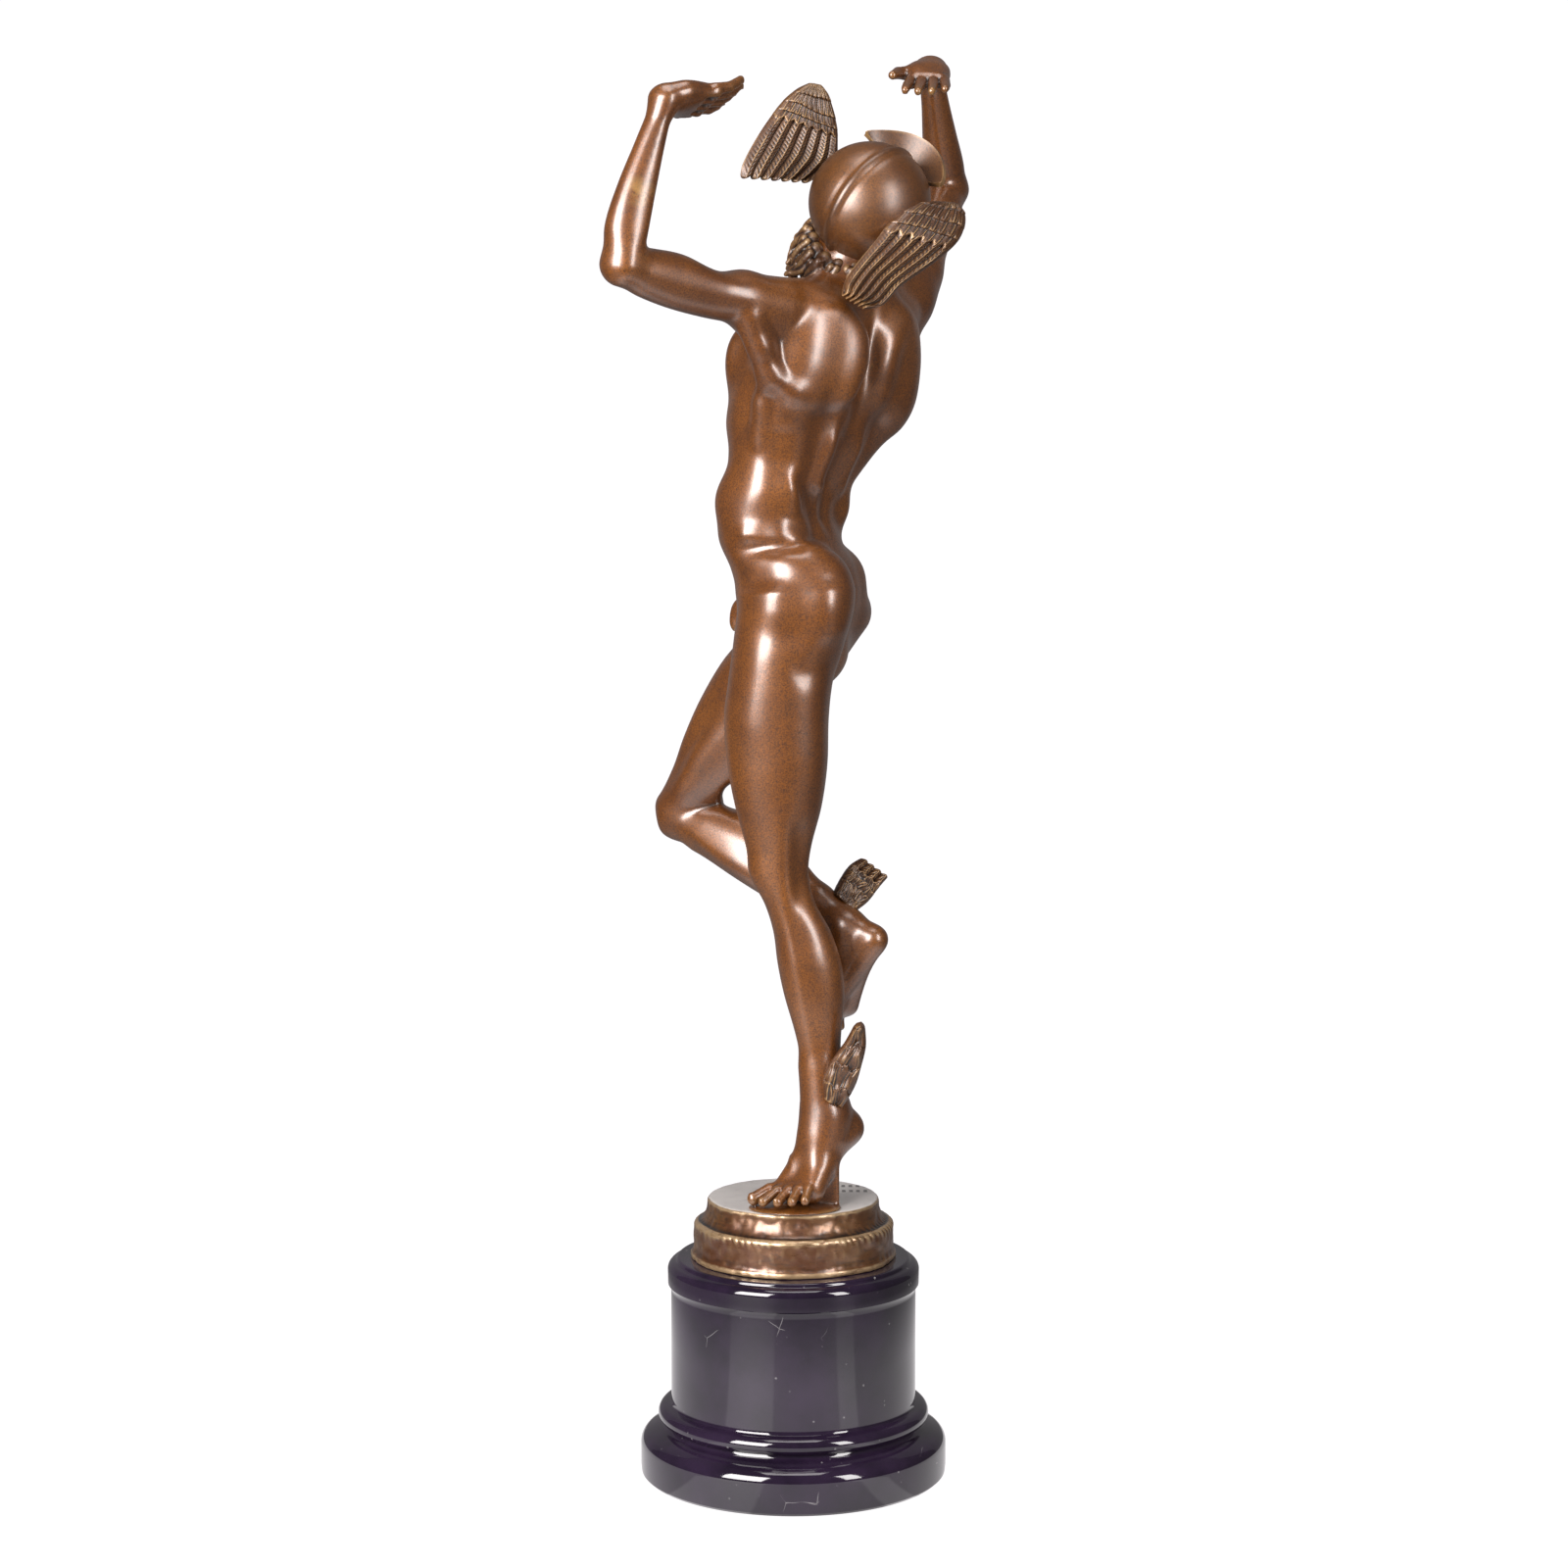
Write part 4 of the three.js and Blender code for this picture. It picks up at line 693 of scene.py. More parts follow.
def cast(piece, name, material, angle=None):
    """Finishes a piece of the figure."""
    finished(piece, name, "mercury_figure", material, angle)


def numbers_of(things, key, width, kind=np.float32):
    """A value of each of a mesh's vertices or edges, a row for each."""
    values = np.empty(len(things) * width, kind)
    things.foreach_get(key, values)
    return values.reshape(-1, width)


def vertices_of(piece):
    return numbers_of(piece.data.vertices, "co", 3)


def place_vertices(mesh, spots):
    mesh.vertices.foreach_set("co", np.asarray(spots, np.float32).ravel())
    mesh.update()


def place_in_figure(mesh, spots):
    """Places vertices at spots in the figure's own units."""
    place_vertices(mesh, spots * UNIT + (0, 0, GROUND))


def mark_curvature(piece):
    """Writes how far each vertex stands out of its surroundings, for wear on the ridges and for dark patina
    with painted shade in the hollows: 0.5 is level, more stands out and less lies in a hollow."""
    mesh = piece.data
    spots = vertices_of(piece)
    normals = numbers_of(mesh.vertices, "normal", 3)
    one, two = numbers_of(mesh.edges, "vertices", 2, np.int32).T
    one, two = np.concatenate((one, two)), np.concatenate((two, one))
    count = np.bincount(one, minlength=len(spots)) + 1e-9
    gap = spots[two] - spots[one]
    bend = -(gap * normals[one]).sum(axis=1) / (np.square(gap).sum(axis=1) + 1e-12)
    total = np.bincount(one, bend, len(spots)) / count * UNIT
    for _ in range(4):
        total = 0.5 * total + 0.5 * np.bincount(one, total[two], len(spots)) / count
    marks = mesh.attributes.new("stands_out", "FLOAT", "POINT")
    marks.data.foreach_set("value", np.clip(0.5 + 0.25 * total, 0, 1).astype(np.float32))


def skinned(name, clay, step, most_faces, rounds, soft=()):
    """A mesh of the clay's skin, evened in so many rounds and thinned where it is flattest to at
    most so many triangles. Soft lists spots, with the radius round each, where the skin is rubbed
    down further."""
    field, low = sampled(clay.lumps, step)
    points, quads = netted(field, low, step)
    points = eased_out(points, quads, rounds)
    if soft:
        rub = np.max([np.clip(1.6 - np.linalg.norm(points - spot, axis=1) / reach, 0, 1)
                      for spot, reach in soft], axis=0)[:, None]
        points = points + (eased_out(points, quads, int(9 / step)) - points) * rub
    mesh = bpy.data.meshes.new(name)
    mesh.vertices.add(len(points))
    mesh.loops.add(4 * len(quads))
    mesh.polygons.add(len(quads))
    mesh.loops.foreach_set("vertex_index", quads.astype(np.int32).ravel())
    mesh.polygons.foreach_set("loop_start", np.arange(0, 4 * len(quads), 4, dtype=np.int32))
    place_in_figure(mesh, points)
    mesh.validate()
    piece = bpy.data.objects.new(name, mesh)
    bpy.context.collection.objects.link(piece)
    if 2 * len(quads) > most_faces:
        thin = piece.modifiers.new("thin", "DECIMATE")
        thin.ratio = most_faces / (2 * len(quads))
        bpy.context.view_layer.objects.active = piece
        bpy.ops.object.modifier_apply(modifier=thin.name)
    return piece


def close_mesh(gap):
    """In edit mode: joins what lies within the gap, turns the faces outwards and leaves the mode."""
    bpy.ops.mesh.select_all(action="SELECT")
    bpy.ops.mesh.remove_doubles(threshold=gap)
    bpy.ops.mesh.normals_make_consistent(inside=False)
    bpy.ops.object.mode_set(mode="OBJECT")


def turned(profile, steps):
    """A turned piece: a chain of vertices along the profile of radius and height, spun round."""
    piece = made_by(bpy.ops.mesh.primitive_plane_add, size=0.01)
    bpy.ops.object.mode_set(mode="EDIT")
    bpy.ops.mesh.merge(type="CENTER")
    spot = (0, 0)
    for radius, height in profile:
        step = (radius - spot[0], 0, height - spot[1])
        if spot == (0, 0) and radius == 0:
            bpy.ops.transform.translate(value=step)
        else:
            bpy.ops.mesh.extrude_region_move(TRANSFORM_OT_translate={"value": step})
        spot = (radius, height)
    bpy.ops.mesh.select_all(action="SELECT")
    bpy.ops.mesh.spin(steps=steps, angle=2 * math.pi, center=(0, 0, 0), axis=(0, 0, 1))
    close_mesh(1e-5)
    return piece


def bow(centre_radius, centre_height, radius, start, end, steps=8):
    """Profile points on an arc, from one turn to another in degrees."""
    turns = [math.radians(start + (end - start) * n / steps) for n in range(steps + 1)]
    return [(centre_radius + radius * math.cos(t), centre_height + radius * math.sin(t))
            for t in turns]


def closer(profile, gap):
    """The same profile with points at most so far apart."""
    points = [profile[0]]
    for a, b in zip(profile, profile[1:]):
        parts = max(1, math.ceil(math.dist(a, b) / gap))
        points += [(a[0] + (b[0] - a[0]) * n / parts, a[1] + (b[1] - a[1]) * n / parts)
                   for n in range(1, parts + 1)]
    return points


def marble_socle(material):
    """The turned socle, from below: a rounded foot, a hollow, a torus, the drum and a moulded rim."""
    low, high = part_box("marble_socle")
    radius, top = high.x, high.z
    foot, bead, drum = 0.020, 0.062, 0.056
    profile = [(0, low.z), (radius - 0.0015, low.z), (radius - 0.0003, 0.0012), (radius, 0.004)]
    profile += bow(radius - 0.006, foot - 0.006, 0.006, 0, 62)
    profile += bow(bead - 0.0005, foot + 0.0045, 0.0028, -95, -180, 4)
    profile += bow(bead - 0.004, foot + 0.008, 0.004, -60, 88)
    profile += [(drum + 0.0004, foot + 0.0125), (drum, foot + 0.0135), (drum, foot + 0.0145)]
    profile += [(drum, top - 0.0155), (drum, top - 0.0145), (drum + 0.0003, top - 0.0135)]
    profile += [(drum + 0.0014, top - 0.012)]
    profile += bow(0.0538, top - 0.0056, 0.0037, 0, 70)
    profile += [(0.0541, top - 0.0019), (0.0536, top - 0.0016)]
    profile += bow(0.0522, top - 0.0012, 0.0012, 0, 86)
    profile += [(0.0515, top), (0, top)]
    finished(turned(profile, 192), "socle_stone", "marble_socle", material, 35)


def bronze_base(material):
    """The stepped base: a thin foot, a drum with a rounded shoulder, a wide cove that runs in and up
    from it to the worn edge of the top, and small dents."""
    low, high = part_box("bronze_base")
    foot = low.z
    drum, top = 0.0458, 0.0393
    shoulder, shoulder_round = foot + 0.0168, 0.0022
    edge_round = 0.0015
    dent, pock, chip, mark = 0.0009, 0.00035, 0.0005, 0.0008
    profile = [(0, foot), (0.0466, foot), (0.047, foot + 0.0006), (0.0469, foot + 0.002)]
    profile += [(drum + 0.0003, foot + 0.0032), (drum, foot + 0.0045)]
    profile += bow(drum - shoulder_round, shoulder - shoulder_round, shoulder_round, 0, 88)
    for turn in range(-90, -181, -9):
        along_cove, down_cove = math.cos(math.radians(turn)), math.sin(math.radians(turn))
        profile.append((drum - shoulder_round + along_cove * (drum - shoulder_round - top),
                        high.z - edge_round + down_cove * (high.z - edge_round - shoulder)))
    profile += bow(top - edge_round, high.z - edge_round, edge_round, 5, 88)
    profile += [(top - 0.004, high.z), (0, high.z)]
    piece = turned(closer(profile, 0.0011), 440)
    spots = vertices_of(piece)
    for n, spot in enumerate(spots):
        radius = math.hypot(spot[0], spot[1])
        if radius < 0.034:
            continue
        place = Vector(spot)
        push = dent * (noise.noise(place * 60) - 0.25) + pock * (noise.noise(place * 260) - 0.3)
        push = min(push, 0.0)
        if spot[2] > high.z - 0.006:
            push += chip * min(noise.noise(place * 130), 0)
        # Slanting tool marks on the shoulder, in groups
        turn = math.atan2(spot[1], spot[0])
        worn = math.exp(-((spot[2] - shoulder + 0.0012) / 0.0022) ** 2)
        cut = math.sin(85 * turn + 900 * (spot[2] - shoulder) + 6 * noise.noise(place * 40))
        push -= mark * worn * max(cut, 0) * max(noise.noise(place * 35) + 0.35, 0)
        spots[n, :2] *= 1 + push / radius
    place_vertices(piece.data, spots)
    finished(piece, "base_casting", "bronze_base", material, 50)


def wing(name, material, rows, thick, feathers, coverts, cells, rough):
    """A wing cast in one with its feathers: a slab between a leading and a trailing edge, which
    the rows give from its shoulder to its feathers' ends, with relief on both faces. Coverts is
    the share of its length under scale-like rows, and then so many feathers run side by side. The
    slab has so many cells across and along, and rough is how far the rows wander."""
    piece = made_by(bpy.ops.mesh.primitive_grid_add, x_subdivisions=cells[0],
                    y_subdivisions=cells[1], size=2)
    flat = vertices_of(piece)
    s, t = (flat[:, 1] + 1) / 2, (flat[:, 0] + 1) / 2
    table = tabled(rows, 96)
    row = picked(table, s)
    lead, trail = row[:, :3], row[:, 3:]
    run, middle = table[-1, :3] - table[0, :3], table[len(table) // 2]
    face = unit_way(np.cross(run, middle[3:] - middle[:3]))
    length = float(np.linalg.norm(run))
    # The modeller's hand: rows and feathers wander a little
    reach_of = np.array([noise.noise_vector(Vector((3 * c, 5 * d, feathers))) for c, d in zip(t, s)])
    s_spot, t_spot = s + rough * reach_of[:, 0], t + 1.4 * rough * reach_of[:, 1]
    lane = t * feathers
    across = 2 * (lane - np.floor(lane)) - 1
    across[t >= 1] = 1
    # Long feathers overlap like slats, each with a quill and slanting barbs
    slat = 1.1 * (1 - across**2) + 0.35 * across
    quill = 0.35 * np.exp(-np.square((across - 0.1) / 0.16))
    barbs = 0.05 * np.sin(2 * math.pi * (s * length / 0.42 + 1.6 * np.abs(across)))
    long_ones = slat + quill + barbs * (1 - np.abs(across)) * 2 - 0.55
    # Coverts lie in rows like scales, each row half a scale on from the last
    rank = s_spot / coverts * 4.0
    scale_lane = t_spot * (feathers + 2) + 0.5 * (np.floor(rank) % 2)
    scale = 2 * (scale_lane - np.floor(scale_lane)) - 1
    reach = np.clip(rank - np.floor(rank) + 0.35 * scale**2, 0, 1)
    scales = 0.15 + 0.85 * reach**1.5 * (1 - 0.5 * scale**2) + 0.15 * np.exp(-np.square(scale / 0.2))
    turn = np.clip((s - coverts + 0.05 * np.abs(across)) / 0.02, 0, 1)
    relief = scales * (1 - turn) + long_ones * turn + 8 * rough * reach_of[:, 2]
    edge = np.clip(1 - np.abs(2 * t - 1) ** 5, 0, 1) * np.clip(s / 0.06, 0, 1) ** 0.5
    edge *= np.clip((1 - s) / 0.04, 0, 1) ** 0.5
    plump = thick * (0.75 + 0.5 * np.exp(-np.square(s / 0.5)))
    deep = np.sqrt(edge) * (plump + 0.5 * thick * relief)
    fringe = 0.035 * length * (1 - across**2) * np.clip((s - 0.8) / 0.2, 0, 1)
    along_way = unit_way(table[-1, :3] + table[-1, 3:] - table[0, :3] - table[0, 3:])
    centre = lead + (trail - lead) * t[:, None] + along_way * fringe[:, None]
    place_in_figure(piece.data, centre + face * deep[:, None])
    only(piece)
    back = made_by(bpy.ops.object.duplicate)
    place_in_figure(back.data, centre - face * deep[:, None])
    piece.select_set(True)
    piece = made_by(bpy.ops.object.join)
    bpy.ops.object.mode_set(mode="EDIT")
    close_mesh(1e-6)
    cast(piece, name, material)


def wings(material):
    """Each row: a share of the length, then the leading edge's and the trailing edge's spots."""
    wing("far_helmet_wing", material, [
        [0, 1.4, -0.1, 102.1, 2.4, 0.5, 102], [0.06, 0.4, -0.4, 101.6, 3.1, 1, 101.1],
        [0.2, -0.9, -0.7, 100.5, 3.8, 1.3, 98.9], [0.45, -2.4, -1.4, 98.5, 4, 1.4, 96.9],
        [0.7, -3.7, -2, 96.4, 3.8, 1.3, 95.1], [0.9, -4.6, -2.4, 94.6, 2.7, 0.8, 94.1],
        [1, -4.8, -2.4, 93.7, 1.6, 0.3, 93.5],
    ], 0.55, 7, 0.4, (200, 170), 0.015)
    wing("near_helmet_wing", material, [
        [0, 12.3, -3.6, 91.1, 14.4, -3.2, 91], [0.12, 10.4, -5.6, 90.7, 15.3, -3.4, 89.8],
        [0.3, 8.5, -7.2, 89.1, 14.7, -4.2, 87.7], [0.5, 7.2, -7.9, 87.4, 12.7, -5.4, 85.8],
        [0.75, 5.5, -8.6, 85.3, 9.4, -7, 83.4], [0.93, 4.5, -9.1, 83.8, 7.8, -8.1, 81.7],
        [1, 4.5, -9.3, 82.9, 6.6, -8.8, 81.6],
    ], 0.65, 6, 0.42, (170, 200), 0.015)
    wing("standing_ankle_wing", material, [
        [0, 2.7, -4.3, 10.2, 4.5, -4.3, 9.3], [0.25, 2.7, -4.8, 11.9, 5.6, -4.9, 11.2],
        [0.5, 3.5, -5.1, 13.7, 6.2, -5.2, 13.2], [0.75, 4.6, -5.3, 15.3, 6.6, -5.4, 15.1],
        [1, 5.5, -5.3, 16.9, 6.5, -5.4, 16.8],
    ], 0.85, 1, 0.97, (120, 140), 0.11)
    wing("raised_ankle_wing", material, [
        [0, 3.7, 2.9, 28, 5.5, 3, 26.1], [0.35, 4.4, 3.3, 29.4, 6.9, 3.4, 27.1],
        [0.7, 5.3, 3.6, 30.6, 8, 4, 28.4], [1, 6.3, 3.8, 31.2, 8.8, 4.2, 29.3],
    ], 0.75, 4, 0.75, (110, 110), 0.09)


def helmet(material, brim_material):
    """The bowl of the helmet with its raised crest, and the brim that stands up in front."""
    bowl = made_by(bpy.ops.mesh.primitive_uv_sphere_add, segments=120, ring_count=72)
    ball = vertices_of(bowl)
    # The ball's poles are turned to the ears, and the crest is a raised band between them
    side, around = ball[:, 2], ball[:, :2]
    ridge = 0.04 * np.clip(1.7 - np.abs(side) / 0.05, 0, 1)
    groove = -0.02 * np.exp(-np.square((np.abs(side) - 0.115) / 0.02))
    local = np.stack((side, around[:, 0], around[:, 1]), axis=1) * (1 + ridge + groove)[:, None]
    local *= (5.45, 5.6, 5.35)
    place_in_figure(bowl.data, HEAD.at(0, -0.3, 1) + local @ HEAD.ways)
    cast(bowl, "helmet_bowl", material)

    brim = made_by(bpy.ops.mesh.primitive_grid_add, x_subdivisions=64, y_subdivisions=12, size=2)
    sideways, outwards = vertices_of(brim)[:, :2].T
    # It is widest over the brow, and its ends curl up clear of the bowl to a point
    turn = sideways * 0.87
    wide = np.clip(np.cos(sideways * math.pi / 2), 0, 1) ** 0.7
    share = (outwards + 1) / 2
    out = 5.1 + 0.7 * sideways ** 4 + share * (1.95 * wide + 0.15)
    lift = 1.9 + 2 * sideways ** 2 + share * 2.7 * wide * (1 - 0.35 * sideways ** 2)
    local = np.stack((out * np.sin(turn) + 0.45, out * np.cos(turn), lift), axis=1)
    place_in_figure(brim.data, HEAD.origin + local @ HEAD.ways)
    wall = brim.modifiers.new("wall", "SOLIDIFY")
    wall.thickness = 0.45 * UNIT
    wall.offset = 0
    bpy.ops.object.modifier_apply(modifier="wall")
    cast(brim, "helmet_brim", brim_material, 50)


def hair_clay():
    """Hair under the helmet's edge: a mass of it, and on that wavy locks whose ends curl out."""
    clay = Clay()
    for n in range(15):
        turn = math.radians(62 + 17 * n)
        nape = max(0, -math.cos(turn)) ** 0.7
        reach = 3.2 + 1.5 * nape * nape
        spot = HEAD.at(reach * math.sin(turn), -0.4 + reach * math.cos(turn), -3.1 - 1.8 * nape)
        clay.egg(HEAD, spot, [1.1, 1.1, 1.7 + 0.6 * nape], 0.4)
    # Two tiers of wavy locks, each of two strands twisted together, that start inside the bowl
    for tier, (locks, start, hang) in enumerate(((17, -1, 2.6), (18, -1.6, 3))):
        for lock in range(locks):
            turn = math.radians(60 + 242 * lock / (locks - 1))
            outwards = HEAD.way(math.sin(turn), math.cos(turn), 0)
            sideways = HEAD.way(math.cos(turn), -math.sin(turn), 0)
            nape = max(0, -math.cos(turn)) ** 0.7
            drop = hang * (1 + 0.12 * math.sin(1.7 * lock)) + nape
            for strand in (0, math.pi):
                points, radii = [], []
                for n in range(12):
                    share = n / 11
                    twist = 5 * share + strand + lock
                    wave = 0.8 * math.sin(4.5 * share + 1.9 * lock + 2 * tier) * share
                    flick = max(share - 0.7, 0) * (1.9 if lock % 3 else 0.4)
                    spot = HEAD.at(0, -0.4, start - 2.3 * nape - drop * share + flick * 0.8)
                    out = 3.5 + 2 * nape * nape + (0.75 - 0.3 * tier) * math.sin(2.2 * share) + flick
                    points.append(moved(spot, (outwards, out + 0.16 * math.sin(twist)),
                                        (sideways, wave + 0.28 * math.cos(twist))))
                    radii.append(0.4 - 0.18 * share)
                clay.chain(points, radii, 0.03)
    # Loose curls beside the cheek
    for n, (l, f, u) in enumerate(((5.3, 1.2, -1.6), (5.4, 0.2, -2.6), (5.2, 1.6, -3), (4.9, 0.8, -4.2))):
        points, radii = [], []
        for step in range(12):
            spin = 0.65 * step + n
            wide = 0.62 - 0.035 * step
            points.append(HEAD.at(l + 0.25 * math.cos(2 * spin), f + wide * math.cos(spin),
                                  u + wide * math.sin(spin)))
            radii.append(0.3 - 0.012 * step)
        clay.chain(points, radii, 0.08)
    return clay


class Shader:
    """A material of nodes. A value that a node takes may be a number, a colour or a node's output."""

    def __init__(self, name):
        self.material = bpy.data.materials.new(name)
        self.material.use_nodes = True
        self.nodes = self.material.node_tree.nodes
        self.nodes.clear()
        self.place = self.node("ShaderNodeTexCoord").outputs["Object"]

    def node(self, kind, takes=None, **settings):
        made = self.nodes.new(kind)
        for key, value in settings.items():
            setattr(made, key, value)
        for key, value in (takes or {}).items():
            self.give(made.inputs[key], value)
        return made

    def give(self, socket, value):
        if isinstance(value, bpy.types.NodeSocket):
            self.material.node_tree.links.new(value, socket)
        elif isinstance(value, tuple) and len(value) == 3 and socket.type == "RGBA":
            socket.default_value = (*value, 1)
        else:
            socket.default_value = value

    def noise(self, scale, detail, rough=0.5, place=None):
        takes = {"Vector": place or self.place, "Scale": scale, "Detail": detail, "Roughness": rough}
        return self.node("ShaderNodeTexNoise", takes).outputs["Fac"]

    def cells(self, scale, place=None, feature="F1"):
        takes = {"Vector": place or self.place, "Scale": scale}
        return self.node("ShaderNodeTexVoronoi", takes, feature=feature).outputs["Distance"]

    def calc(self, operation, a, b=0.0):
        return self.node("ShaderNodeMath", {0: a, 1: b}, operation=operation).outputs[0]

    def times(self, a, b):
        return self.calc("MULTIPLY", a, b)

    def plus(self, a, b):
        return self.calc("ADD", a, b)

    def span(self, value, low, high, to_low=0.0, to_high=1.0):
        """A value's range stretched onto another, and held inside it."""
        takes = {"Value": value, "From Min": low, "From Max": high, "To Min": to_low,
                 "To Max": to_high}
        return self.node("ShaderNodeMapRange", takes).outputs["Result"]

    def mixed(self, share, a, b):
        made = self.node("ShaderNodeMix", data_type="RGBA", clamp_factor=True)
        self.give(made.inputs[0], share)
        self.give(made.inputs[6], a)
        self.give(made.inputs[7], b)
        return made.outputs[2]

    def mark(self, name):
        return self.node("ShaderNodeAttribute", attribute_name=name).outputs["Fac"]

    def bump(self, height, distance, strength=1.0, normal=None):
        takes = {"Height": height, "Distance": distance, "Strength": strength}
        if normal is not None:
            takes["Normal"] = normal
        return self.node("ShaderNodeBump", takes).outputs["Normal"]

    def surface(self, **takes):
        takes = {key.replace("_", " "): value for key, value in takes.items()}
        made = self.node("ShaderNodeBsdfPrincipled", takes)
        out = self.node("ShaderNodeOutputMaterial")
        self.material.node_tree.links.new(made.outputs[0], out.inputs["Surface"])
        return self.material


def patinated_bronze(name, deep, brown, warm, brass, rub_share, satin, wax=1.0):
    """Brown patina under wax: clouded in tone, dark in the hollows with darker patina and painted shade,
    rubbed to the metal where it stands out, with a fine cast grain, small pits and here and there a worn
    brassy spot. Satin is the wax's roughness."""
    s = Shader(name)
    clouds = s.noise(24, 5, 0.6)
    smears = s.noise(85, 4, 0.65)
    grain = s.noise(1500, 2, 0.7)
    stands_out = s.mark("stands_out")
    # Painted shade: the hollows are darkened towards the deep colour, along with the darker patina that
    # gathers there
    hollow_patina_and_shade = s.span(stands_out, 0.48, 0.32)
    tone = s.mixed(s.span(clouds, 0.36, 0.66), brown, warm)
    tone = s.mixed(s.span(smears, 0.5, 0.75, 0, 0.3), tone, deep)
    tone = s.mixed(s.times(hollow_patina_and_shade, 0.9), tone, deep)
    tone = s.mixed(s.span(grain, 0.4, 0.68, 0.0, 0.75), tone, deep)
    rub = s.times(s.times(s.span(stands_out, 0.56, 0.8), s.span(smears, 0.38, 0.6)), rub_share)
    spots = s.times(s.span(s.noise(17, 2), 0.67, 0.75), s.span(smears, 0.52, 0.66))
    worn = s.calc("MAXIMUM", rub, s.times(spots, 0.6))
    tone = s.mixed(worn, tone, brass)
    pits = s.span(s.cells(420), 0.12, 0.02)
    pits = s.times(pits, s.span(s.noise(60, 2), 0.55, 0.7))
    height = s.calc("SUBTRACT", s.times(grain, 0.35), pits)
    relief = s.bump(height, 0.00014, 0.7)
    relief = s.bump(s.noise(330, 3, 0.55), 0.0004, 0.2, relief)
    gloss = s.plus(s.span(smears, 0.3, 0.7, 0.36, 0.44), s.span(grain, 0.3, 0.7, 0.0, 0.08))
    return s.surface(Base_Color=tone, Metallic=0.3, Roughness=gloss, Normal=relief,
                     Coat_Weight=wax, Coat_Roughness=satin, Coat_IOR=1.75)


def brassy_bronze():
    """The base's metal: thinner patina that lets the brass through, rubbed bright on its edges, with a
    painted reflection of the white table making its flat top pale, and dark in its dents with darker patina
    and painted shade."""
    s = Shader("brassy_bronze")
    clouds = s.noise(45, 5, 0.62)
    streaks = s.node("ShaderNodeMapping", {"Vector": s.place, "Scale": (1, 1, 4)}).outputs[0]
    smears = s.noise(120, 5, 0.7, streaks)
    grain = s.noise(1900, 2, 0.6)
    stands_out = s.mark("stands_out")
    axes = s.node("ShaderNodeSeparateXYZ", {"Vector": s.place}).outputs
    deep, brown, brass = (0.014, 0.006, 0.003), (0.12, 0.038, 0.009), (0.21, 0.095, 0.028)
    tone = s.mixed(s.span(clouds, 0.42, 0.68), brown, brass)
    tone = s.mixed(s.span(smears, 0.52, 0.72, 0, 0.8), tone, deep)
    # Painted shade with darker patina: the dents and hollows are darkened towards the deep colour
    tone = s.mixed(s.span(stands_out, 0.47, 0.36), tone, deep)
    edges = s.times(s.span(stands_out, 0.52, 0.62), s.span(smears, 0.3, 0.5))
    tone = s.mixed(edges, tone, (0.45, 0.3, 0.16))
    top = s.span(axes["Z"], 0.1270, 0.1274)
    # Painted reflection: the flat top is painted near white, standing in for the white table that it
    # mirrors
    tone = s.mixed(s.times(top, s.span(smears, 0.25, 0.45, 0.75, 1)), tone, (0.95, 0.9, 0.86))
    relief = s.bump(s.plus(s.times(grain, 0.25), s.noise(420, 4, 0.6)), 0.0003,
                    s.span(top, 0, 1, 0.5, 0.15))
    # Two rows of shallow strokes in one field of the top
    x, y = axes["X"], axes["Y"]
    bars = s.calc("SINE", s.plus(s.times(x, 1900), s.span(smears, 0, 1, 0, 3)))
    rows = s.calc("SINE", s.times(s.calc("SUBTRACT", y, 0.0075), 600))
    field = s.times(s.times(s.span(x, 0.02, 0.021), s.span(x, 0.035, 0.034)),
                    s.times(s.span(y, 0.0075, 0.008), s.span(y, 0.0285, 0.028)))
    cut = s.times(s.times(s.span(bars, -0.2, 0.1), s.times(s.span(rows, 0.1, 0.3), field)), top)
    tone = s.mixed(s.times(cut, 0.8), tone, (0.05, 0.03, 0.03))
    gloss = s.plus(s.span(smears, 0.3, 0.7, 0.24, 0.42), s.times(top, 0.1))
    return s.surface(Base_Color=tone, Metallic=0.6, Roughness=gloss, Normal=relief,
                     Coat_Weight=0.8, Coat_Roughness=0.3, Coat_IOR=1.7)


def black_marble():
    """Polished black marble: sparse pale flecks and hair-fine broken veins."""
    s = Shader("black_marble")
    swirl = s.node("ShaderNodeTexNoise", {"Vector": s.place, "Scale": 9.0, "Detail": 4.0})
    warped = s.node("ShaderNodeMixRGB", {"Fac": 0.06, "Color1": s.place,
                                         "Color2": swirl.outputs["Color"]}, blend_type="ADD").outputs[0]
    veins = s.span(s.cells(48, warped, "DISTANCE_TO_EDGE"), 0.009, 0.0)
    veins = s.times(veins, s.span(s.noise(50, 2), 0.63, 0.7))
    flecks = s.span(s.cells(210), 0.14, 0.05)
    flecks = s.times(flecks, s.span(s.noise(90, 2), 0.56, 0.66))
    cloud = s.mixed(s.span(s.noise(30, 4, 0.6), 0.4, 0.7), (0.009, 0.005, 0.013), (0.022, 0.012, 0.03))
    pale = s.calc("MAXIMUM", s.times(veins, 0.55), s.times(flecks, 0.6))
    tone = s.mixed(pale, cloud, (0.42, 0.4, 0.41))
    gloss = s.span(s.noise(140, 3, 0.6), 0.3, 0.7, 0.05, 0.09)
    relief = s.bump(s.noise(900, 2), 0.00004, 0.15)
    return s.surface(Base_Color=tone, Roughness=gloss, Normal=relief, Specular_IOR_Level=0.6,
                     Coat_Weight=0.3, Coat_Roughness=0.03)


